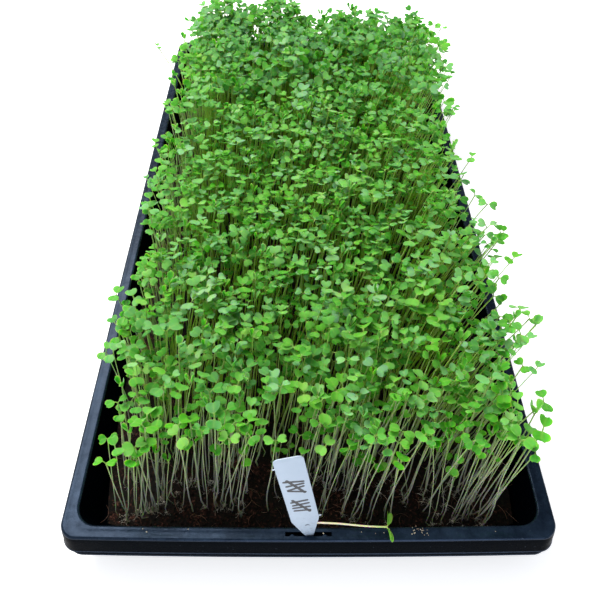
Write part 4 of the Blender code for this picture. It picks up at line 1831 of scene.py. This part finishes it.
        # The far kind takes over gradually along the tray, with blades as small as the crowd's at first.
        low, high = self.far_span
        farther = (pick % 97) / 97 < np.clip((y - low) / (high - low), 0, 1)
        small = 1 / Kind.FAR.value[2]
        blades = plan["breadth"] * np.where(farther, np.interp(y, self.far_span, (small, 1.0)), 1.0)
        kind = np.where((x < -0.104) | (x > 0.099), kinds.index(Kind.SIDE), kinds.index(Kind.CROWD))
        kind = np.where(farther, kinds.index(Kind.FAR), kind)
        kind = np.where(y < -0.208, kinds.index(Kind.NEAR), kind)
        fields = {
            "shape": ((np.cumsum(counts) - counts)[kind] + pick % counts[kind]).astype(np.int32),
            "size": np.stack([blades, blades, plan["height"] / library.height], 1),
            **{name: plan[name] for name in ("turn", "lean", "tint", "bloom", "shade")},
        }
        pitch = (self.row_span[1] - self.row_span[0]) / self.rows
        row_of = np.clip(((y - self.row_span[0]) / pitch).astype(int), 0, self.rows - 1)
        for row in range(self.rows):
            own = row_of == row
            mine = {name: values[own] for name, values in fields.items()}
            piece = scatter(f"sprouts_row_{row + 1}", sow, shapes, self.finish, places[own], mine, self.bend)
            place_piece(piece, "sprouts", *(f"sprout_clump_r{row + 1}_c{column}" for column in range(1, 5)))
        LOG.info("crop: %d sprouts", len(places))
        return places


@dataclass
class RootTufts:
    """White root hairs that show where the near stems enter the coir."""

    finish: Material
    hairs: int = 7
    hair_radius: float = 0.00009
    hair_taper: float = 0.4

    def shapes(self) -> list[Mesh]:
        """Tufts of hairs that spread over the coir from one point."""
        meshes = []
        for index in range(5):
            draw = np.random.default_rng(60 + index)
            bm = bmesh.new()
            for _ in range(self.hairs):
                angle, reach = draw.uniform(0, FULL_TURN), draw.uniform(0.0010, 0.0038)
                start = draw.uniform(0.0003, 0.0026)
                line = []
                for t in (step / 3 for step in range(4)):
                    bend = angle + 0.9 * t * draw.uniform(-1, 1)
                    out = Vector((math.cos(bend), math.sin(bend), 0)) * (reach * t)
                    line.append(out + Vector((0, 0, start * (1 - t) ** 1.5 + 0.0001)))
                part = thread_mesh("hair", line, self.hair_radius, self.hair_taper)
                bm.from_mesh(part)
                bpy.data.meshes.remove(part)
            meshes.append(mesh_from(bm, f"tuft_{index}"))
        return meshes

    def build(self, sow: Growth, roots: np.ndarray) -> None:
        """Builds the tufts at the roots that can be seen.

        Args:
            sow: the sowing tree.
            roots: the places of all roots.
        """
        draw = np.random.default_rng(12)
        places = roots[(roots[:, 1] < -0.225) | (draw.uniform(size=len(roots)) < 0.02)]
        count = len(places)
        level = np.zeros(count)
        fields = {
            "shape": draw.integers(0, 5, count),
            "turn": np.stack([level, level, draw.uniform(0, FULL_TURN, count)], 1),
            "size": even_sizes(draw, 0.6, 1.3, count),
        }
        place_piece(scatter("root_hairs", sow, self.shapes(), self.finish, places, fields), "sprouts")


@dataclass(frozen=True)
class Specimen:
    """One sprout that stands apart, with a CAD node of its own."""

    node: str
    root: Pair
    tip: Point
    bend: float
    heading: float  # of its pair of leaves, radians from +X
    size: float
    tint: float
    shade: float = 0.0


@dataclass
class Specimens:
    """The sprouts that stand apart from the crowd, each in the place of its CAD node."""

    finish: Material
    pulled: Material
    rim: float
    ground: float
    buried: float = 0.002
    leaf_rise: float = 0.0035  # how far the leaves reach above the stem's top
    front_count: int = 9
    front_pitch: float = 0.023
    front_y: Pair = (-0.2475, -0.2415)  # root and tip
    # Each side's name, root x, bend and shade, and the y and x of its tips.
    sides: tuple[tuple[str, float, float, float, tuple[Pair, ...]], ...] = (
        (
            "right",
            0.1105,
            0.8,
            0.4,
            (
                (-0.2120, 0.1380),
                (-0.1545, 0.1425),
                (-0.0835, 0.1400),
                (0.0105, 0.1390),
                (0.1285, 0.1410),
                (0.2175, 0.1450),
            ),
        ),
        ("left", -0.1165, 1.2, 0.0, ((-0.1335, -0.1265), (0.0300, -0.1265))),
    )
    fallen_start: Pair = (0.0045, -0.2639)
    fallen_run: Point = (0.0392, -0.0026, 0.0010)

    def listed(self) -> list[Specimen]:
        """The standing ones, as high as their CAD nodes."""
        draw = np.random.default_rng(21)
        found = []

        def add(
            node: str, root: Pair, tip: Pair, bend: float, heading: float, spread: Pair, shade: float
        ) -> None:
            """Adds one as high as its CAD node.

            Args:
                node: the CAD node.
                root: where it comes out of the coir.
                tip: the place of its leaves.
                bend: how late it leans.
                heading: the way its leaves point.
                spread: how far they may turn from there, and its brightest tint.
                shade: how much painted shade its stem's colour takes; a stem with more is also thicker.
            """
            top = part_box(node)[1].z - self.leaf_rise
            turn = heading + draw.uniform(-spread[0], spread[0])
            size = draw.uniform(0.85, 1.1)
            tint = draw.uniform(0.3, spread[1])
            found.append(Specimen(node, root, (*tip, top), bend, turn, size, tint, shade))

        for index in range(self.front_count):
            x = (index - self.front_count // 2) * self.front_pitch
            tip = (-0.116 + 0.245 * ((x + 0.110) / 0.215), self.front_y[1])
            add(f"front_sprout_{index + 1}", (x, self.front_y[0]), tip, 1.4, 0.0, (0.9, 0.85), 0.0)
        for side, root_x, bend, shade, tips in self.sides:
            for index, (y, x) in enumerate(tips):
                node = f"{side}_sprout_{index + 1}"
                add(node, (root_x, y), (x, y), bend, math.pi / 2, (0.7, 0.8), shade)
        stray_tip = (-0.1480, 0.1900, self.rim + 0.0405)
        found.append(Specimen("stray_sprout", (-0.1180, 0.1640), stray_tip, 2.0, -1.07, 0.66, 0.6, 0.9))
        return found

    def raise_one(self, one: Specimen, draw: np.random.Generator) -> None:
        """Builds one standing sprout.

        Args:
            one: where it stands and how it looks.
            draw: the random source.
        """
        builder = SproutBuilder(Detail.SPECIMEN, 0.00038 + 0.00008 * one.shade)
        root = Vector((*one.root, self.ground - self.buried))
        sway = Vector((draw.normal(0, 0.0008), draw.normal(0, 0.0006), 0))
        line = stem_line(root, Vector(one.tip), one.bend, builder.steps, sway, draw.normal(0, 0.0007))
        builder.stem(line)
        for side in (0.0, math.pi):
            angle = one.heading + side + draw.normal(0, 0.12)
            outwards = Vector((math.cos(angle), math.sin(angle), 0))
            builder.leaf(drawn_leaf(draw, one.size), line[-1], outwards, Vector((0, 0, 1)))
        self.settle(builder, one.node, self.finish, tint=one.tint, bloom=0.2, shade=one.shade)

    def settle(self, builder: SproutBuilder, node: str, finish: Material, **looks: float) -> None:
        """Turns a built sprout into the piece that stands for its CAD node.

        Args:
            builder: what built it.
            node: the CAD node.
            finish: its material.
            looks: the values that the finish reads, by name.
        """
        mesh = outwards_mesh(builder.bm, node + "_grown")
        for name, value in looks.items():
            set_field(mesh, name, np.full(len(mesh.vertices), value))
        mesh.materials.append(finish)
        place_piece(new_object(node + "_grown", mesh), "sprouts", node)

    def fallen(self) -> None:
        """Builds the pulled sprout that lies along the near flange."""
        builder = SproutBuilder(Detail.SPECIMEN, 0.00046)
        start = Vector((*self.fallen_start, self.rim + 0.0026))
        run_x, run_y, rise = self.fallen_run
        line = []
        for t in (step / builder.steps for step in range(builder.steps + 1)):
            wave = 0.00025 * math.sin(2.0 * math.pi * t)
            line.append(start + Vector((run_x * t, run_y * t + wave, rise * t)))
        builder.stem(line)
        heading = (line[-1] - line[-2]).normalized()
        for side, lift, width, fold in ((1, 1.1, 0.0042, 0.70), (-1, 0.35, 0.0064, 0.40)):
            leaf = SeedLeaf(width=width, length=0.0072, stalk=0.0012, pitch=0.30, droop=0.30, fold=fold)
            upwards = (heading + Vector((0, 0, lift))).normalized()
            builder.leaf(leaf, line[-1], Vector((0.1, side, 0.0)), upwards)
        self.settle(builder, "fallen_sprout", self.pulled, tint=0.85, bloom=0.0, shade=0.0)

    def build(self) -> None:
        """Builds them all."""
        draw = np.random.default_rng(44)
        for one in self.listed():
            self.raise_one(one, draw)
        self.fallen()


# --- label ----------------------------------------------------------------------------
@dataclass
class PlantLabel:
    """The white pointed label in the slot, with two strokes of moulding flash and a tally."""

    plastic: Material
    ink: Material
    origin: Point
    width: float = 0.0154
    length: float = 0.0904
    thickness: float = 0.0007
    taper: float = 0.0250
    tip_width: float = 0.0016
    corner: float = 0.0030
    below: float = 0.0066
    bevel: float = 0.00018
    pen: float = 0.0016
    gate: float = 0.0172  # how far up the mould's gate left its crescent
    lean_back: float = math.radians(3.0)
    lean_side: float = math.radians(7.7)
    yaw: float = math.radians(7.0)

    def outline(self) -> list[Pair]:
        """The label's outline, from its tip up one side and down the other."""
        half = self.width / 2
        right = [(self.tip_width / 2, 0.0)]
        for share in (0.9, 0.97, 1.0):
            right.append((half * (0.11 + 0.89 * share), self.taper * share + 0.0008 * (share == 1.0)))
        right += [(half, z) for z in (0.040, 0.055, 0.070)]
        for step in range(9):
            angle = math.pi / 2 * step / 8
            across = half - self.corner + self.corner * math.cos(angle)
            right.append((across, self.length - self.corner + self.corner * math.sin(angle)))
        return right + [(-x, z) for x, z in reversed(right)]

    def slab(self, bm: BMesh, outline: list[Pair], back: float, front: float) -> list[BMVert]:
        """Adds a flat closed plate between two depths.

        Args:
            bm: the mesh that gets it.
            outline: its outline across and up the label.
            back: the depth of its back.
            front: the depth of its front, which faces -Y.

        Returns:
            The plate's points.
        """
        return add_plate(bm, [(x, back, z - self.below) for x, z in outline], (0, front - back, 0))

    def stand(self, bm: BMesh, name: str, finish: Material) -> Mesh:
        """Turns what was built into a mesh that stands in the slot.

        Args:
            bm: what was built.
            name: the mesh's name.
            finish: its material.

        Returns:
            The mesh.
        """
        turn = Euler((-self.lean_back, -self.lean_side, self.yaw)).to_matrix().to_4x4()
        bmesh.ops.recalc_face_normals(bm, faces=bm.faces)
        bmesh.ops.transform(bm, matrix=Matrix.Translation(self.origin) @ turn, verts=bm.verts)
        mesh = mesh_from(bm, name)
        mesh.materials.append(finish)
        return mesh

    def blade(self) -> None:
        """Builds the label itself, its flash and the crescent left by the mould's gate, which is marked for a
        dark colour as painted shade.
        """
        bm = bmesh.new()
        half, edge = self.thickness / 2, self.width / 2
        self.slab(bm, self.outline(), half, -half)
        sharp = [each for each in bm.edges if each.calc_face_angle(0.0) > math.radians(60)]
        bmesh.ops.bevel(bm, geom=sharp, offset=self.bevel, segments=2, affect="EDGES", profile=0.6)
        flash = ((-0.0005, 0.0), (0.0013, 0.0001), (0.0014, 0.0006), (-0.0005, 0.0008))
        for side, low in ((-1, 0.0815), (1, 0.0262)):
            outline = [(side * (edge + out), low + up) for out, up in flash]
            self.slab(bm, outline[::side], half * 0.6, -half * 0.6)
        crescent = []
        turns = [math.radians(35 + 110 * step / 8) for step in range(9)]
        for radius, rise, angles in ((0.0017, 0.0, turns), (0.0012, 0.0008, turns[::-1])):
            for angle in angles:
                z = self.gate + rise + radius * math.sin(angle)
                crescent.append((0.0002 + radius * math.cos(angle), z))
        # The crescent's points take the dark colour: painted shade of the gate's groove.
        grime = bm.verts.layers.float.new("grime")
        for vert in self.slab(bm, crescent, -half + 0.0002, -half - 0.0002):
            vert[grime] = 1.0
        mesh = self.stand(bm, "label_blade", self.plastic)
        smooth_between(mesh, 35)
        place_piece(new_object("label_blade", mesh), "label_plastic", "plant_label")

    def stroke(self, bm: BMesh, start: Pair, end: Pair) -> None:
        """Adds one marker stroke with round ends on the label's face.

        Args:
            bm: the mesh that gets it.
            start: where it starts, across and up the label.
            end: where it ends.
        """
        heading = math.atan2(end[1] - start[1], end[0] - start[0])
        outline = []
        for (x, z), turn in ((end, -math.pi / 2), (start, math.pi / 2)):
            for angle in (heading + turn + math.pi * step / 6 for step in range(7)):
                outline.append((x + self.pen / 2 * math.cos(angle), z + self.pen / 2 * math.sin(angle)))
        half = self.thickness / 2
        self.slab(bm, outline, -half + 0.00005, -half - 0.00006)

    def tally(self) -> None:
        """Builds a tally of ten strokes, drawn across the label by hand."""
        draw = np.random.default_rng(3)
        bm = bmesh.new()
        for first in (0.0675, 0.0465):
            for index in range(4):
                z = first - 0.0034 * index
                tilt = draw.normal(0, 0.0005)
                left = -0.0042 + draw.normal(0, 0.0004)
                right = 0.0042 + draw.normal(0, 0.0004)
                self.stroke(bm, (left, z + tilt), (right, z - tilt))
            self.stroke(bm, (-0.0036, first + 0.0020), (0.0038, z - 0.0022))
        place_piece(new_object("label_tally", self.stand(bm, "label_tally", self.ink)), "label_plastic")

    def build(self) -> None:
        """Builds the label and its tally."""
        self.blade()
        self.tally()


# --- studio ---------------------------------------------------------------------------
@dataclass
class Studio:
    """White paper, a bright surround and soft lamps, with the camera above the near end."""

    paper: Material
    camera_place: Point = (-0.0072, -0.4233, 0.4420)
    camera_pitch: float = math.radians(48.5)
    lens: float = 40.86
    shift: Pair = (0.0075, -0.20)
    surround_strength: float = 0.98
    lamps: tuple[tuple[str, Point, float, float, str], ...] = (
        ("left_softbox", (-0.75, 0.75, 1.7), 1.3, 54.0, "#fffbf3"),
        ("front_fill", (0.20, -1.50, 0.60), 0.9, 5.0, "#e6eeff"),
    )

    def hang(self, name: str, data: object, place: Point, turn: object) -> Object:
        """Puts a lamp or a camera into the scene.

        Args:
            name: the object's name.
            data: the lamp or the camera.
            place: where it hangs.
            turn: its rotation.

        Returns:
            The object.
        """
        obj = bpy.data.objects.new(name, data)
        obj.location = place
        obj.rotation_euler = turn
        bpy.context.scene.collection.objects.link(obj)
        return obj

    def floor(self) -> None:
        """Lays the paper."""
        bm = bmesh.new()
        bmesh.ops.create_grid(bm, x_segments=2, y_segments=2, size=12.0)
        mesh = mesh_from(bm, "paper_floor")
        mesh.materials.append(self.paper)
        new_object("paper_floor", mesh)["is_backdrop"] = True

    def surround(self) -> None:
        """Lights the room: bright overhead and to the left, dimmer to the right."""
        world = bpy.data.worlds.new("studio")
        bpy.context.scene.world = world
        world.use_nodes = True
        graph = Graph(world.node_tree)
        heading = graph.add(Node.HEADING)
        colour = graph.add(
            Node.MIX, graph.add(Node.RANGE, graph.add(Node.X_OF, heading), -0.5, 0.5), "#ffffff", "#9ba1ab"
        )
        low = graph.add(Node.RANGE, graph.add(Node.Z_OF, heading), 0.0, 0.7, 1.0, 0.0)
        back = graph.tree.nodes["Background"].inputs
        graph.feed(back["Color"], graph.add(Node.MIX, low, colour, "#6b727c", blend_type="MULTIPLY"))
        graph.feed(back["Strength"], self.surround_strength)

    def light(self) -> None:
        """Hangs the soft lamps."""
        for name, place, size, power, colour in self.lamps:
            lamp = bpy.data.lights.new(name, "AREA")
            lamp.shape = "DISK"
            lamp.size = size
            lamp.energy = power
            lamp.color = linear(colour)[:3]
            self.hang(name, lamp, place, (-Vector(place)).to_track_quat("-Z", "Y").to_euler())

    def camera(self) -> None:
        """Sets up the camera."""
        data = bpy.data.cameras.new("camera")
        data.sensor_width = 36.0
        data.lens = self.lens
        data.shift_x, data.shift_y = self.shift
        data.clip_start, data.clip_end = 0.01, 50.0
        camera = self.hang("camera", data, self.camera_place, (self.camera_pitch, 0.0, 0.0))
        bpy.context.scene.camera = camera

    def build(self) -> None:
        """Builds the studio."""
        self.floor()
        self.surround()
        self.light()
        self.camera()
        bpy.context.scene.view_settings.view_transform = "Standard"


# --- assembly -------------------------------------------------------------------------
def corners() -> list[list[float]]:
    """The lowest and highest corner of what is shown, as plain lists."""
    return [[float(value) for value in corner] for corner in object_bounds()]


def main() -> None:
    """Builds the whole model round the CAD frame."""
    logging.basicConfig(level=logging.INFO, format="%(name)s: %(message)s")
    for name in ("Cube", "Light", "Camera"):
        if name in bpy.data.objects:
            bpy.data.objects.remove(bpy.data.objects[name])
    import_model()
    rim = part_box("grow_tray")[1].z
    soil = rim - SOIL_DROP
    opening = RIM_HALF_X - FLANGE
    styrene = MouldedStyrene().material()
    tissue = SeedlingTissue().material()

    drip_rim = RIM_HALF_X + NEST * SKIRT_SLOPE - PLASTIC - PLAY
    drip_opening = opening - NEST * WALL_SLOPE + PLASTIC + PLAY
    DripTray("drip_tray_moulding", "drip_tray", styrene, 0.0, drip_rim, drip_opening).build()
    GrowTray("grow_tray_moulding", "grow_tray", styrene, NEST, RIM_HALF_X, opening).build()
    sow = sowing_tree()
    bed = CoirBed(
        MoistCoir().material(),
        CoirFibre().material(),
        level=soil,
        rim=rim,
        bottom=NEST + PLASTIC + GAP,
        top_half_x=opening - SLAB_DROP * WALL_SLOPE - 0.0006,
        bottom_half_x=opening - DEPTH * WALL_SLOPE - 0.0040,
    )
    surface = bed.build(sow)
    roots = Crop(tissue).build(surface, sow, SproutLibrary())
    RootTufts(RootHair().material()).build(sow, roots)
    bleached = ((0.0, "#f3efcf"), (0.8, "#e3e6b4"), (1.0, "#bdd272"))
    pulled = SeedlingTissue("pulled_broccoli_seedling", bleached)
    Specimens(tissue, pulled.material(), rim, soil).build()
    slot = (0.0006, -(RIM_HALF_X + END_EXTRA) + SLOT_INSET, rim)
    PlantLabel(LabelPlastic(tip_z=rim).material(), MarkerInk().material(), slot).build()
    Studio(StudioPaper().material()).build()


if __name__ == "__main__":
    main()
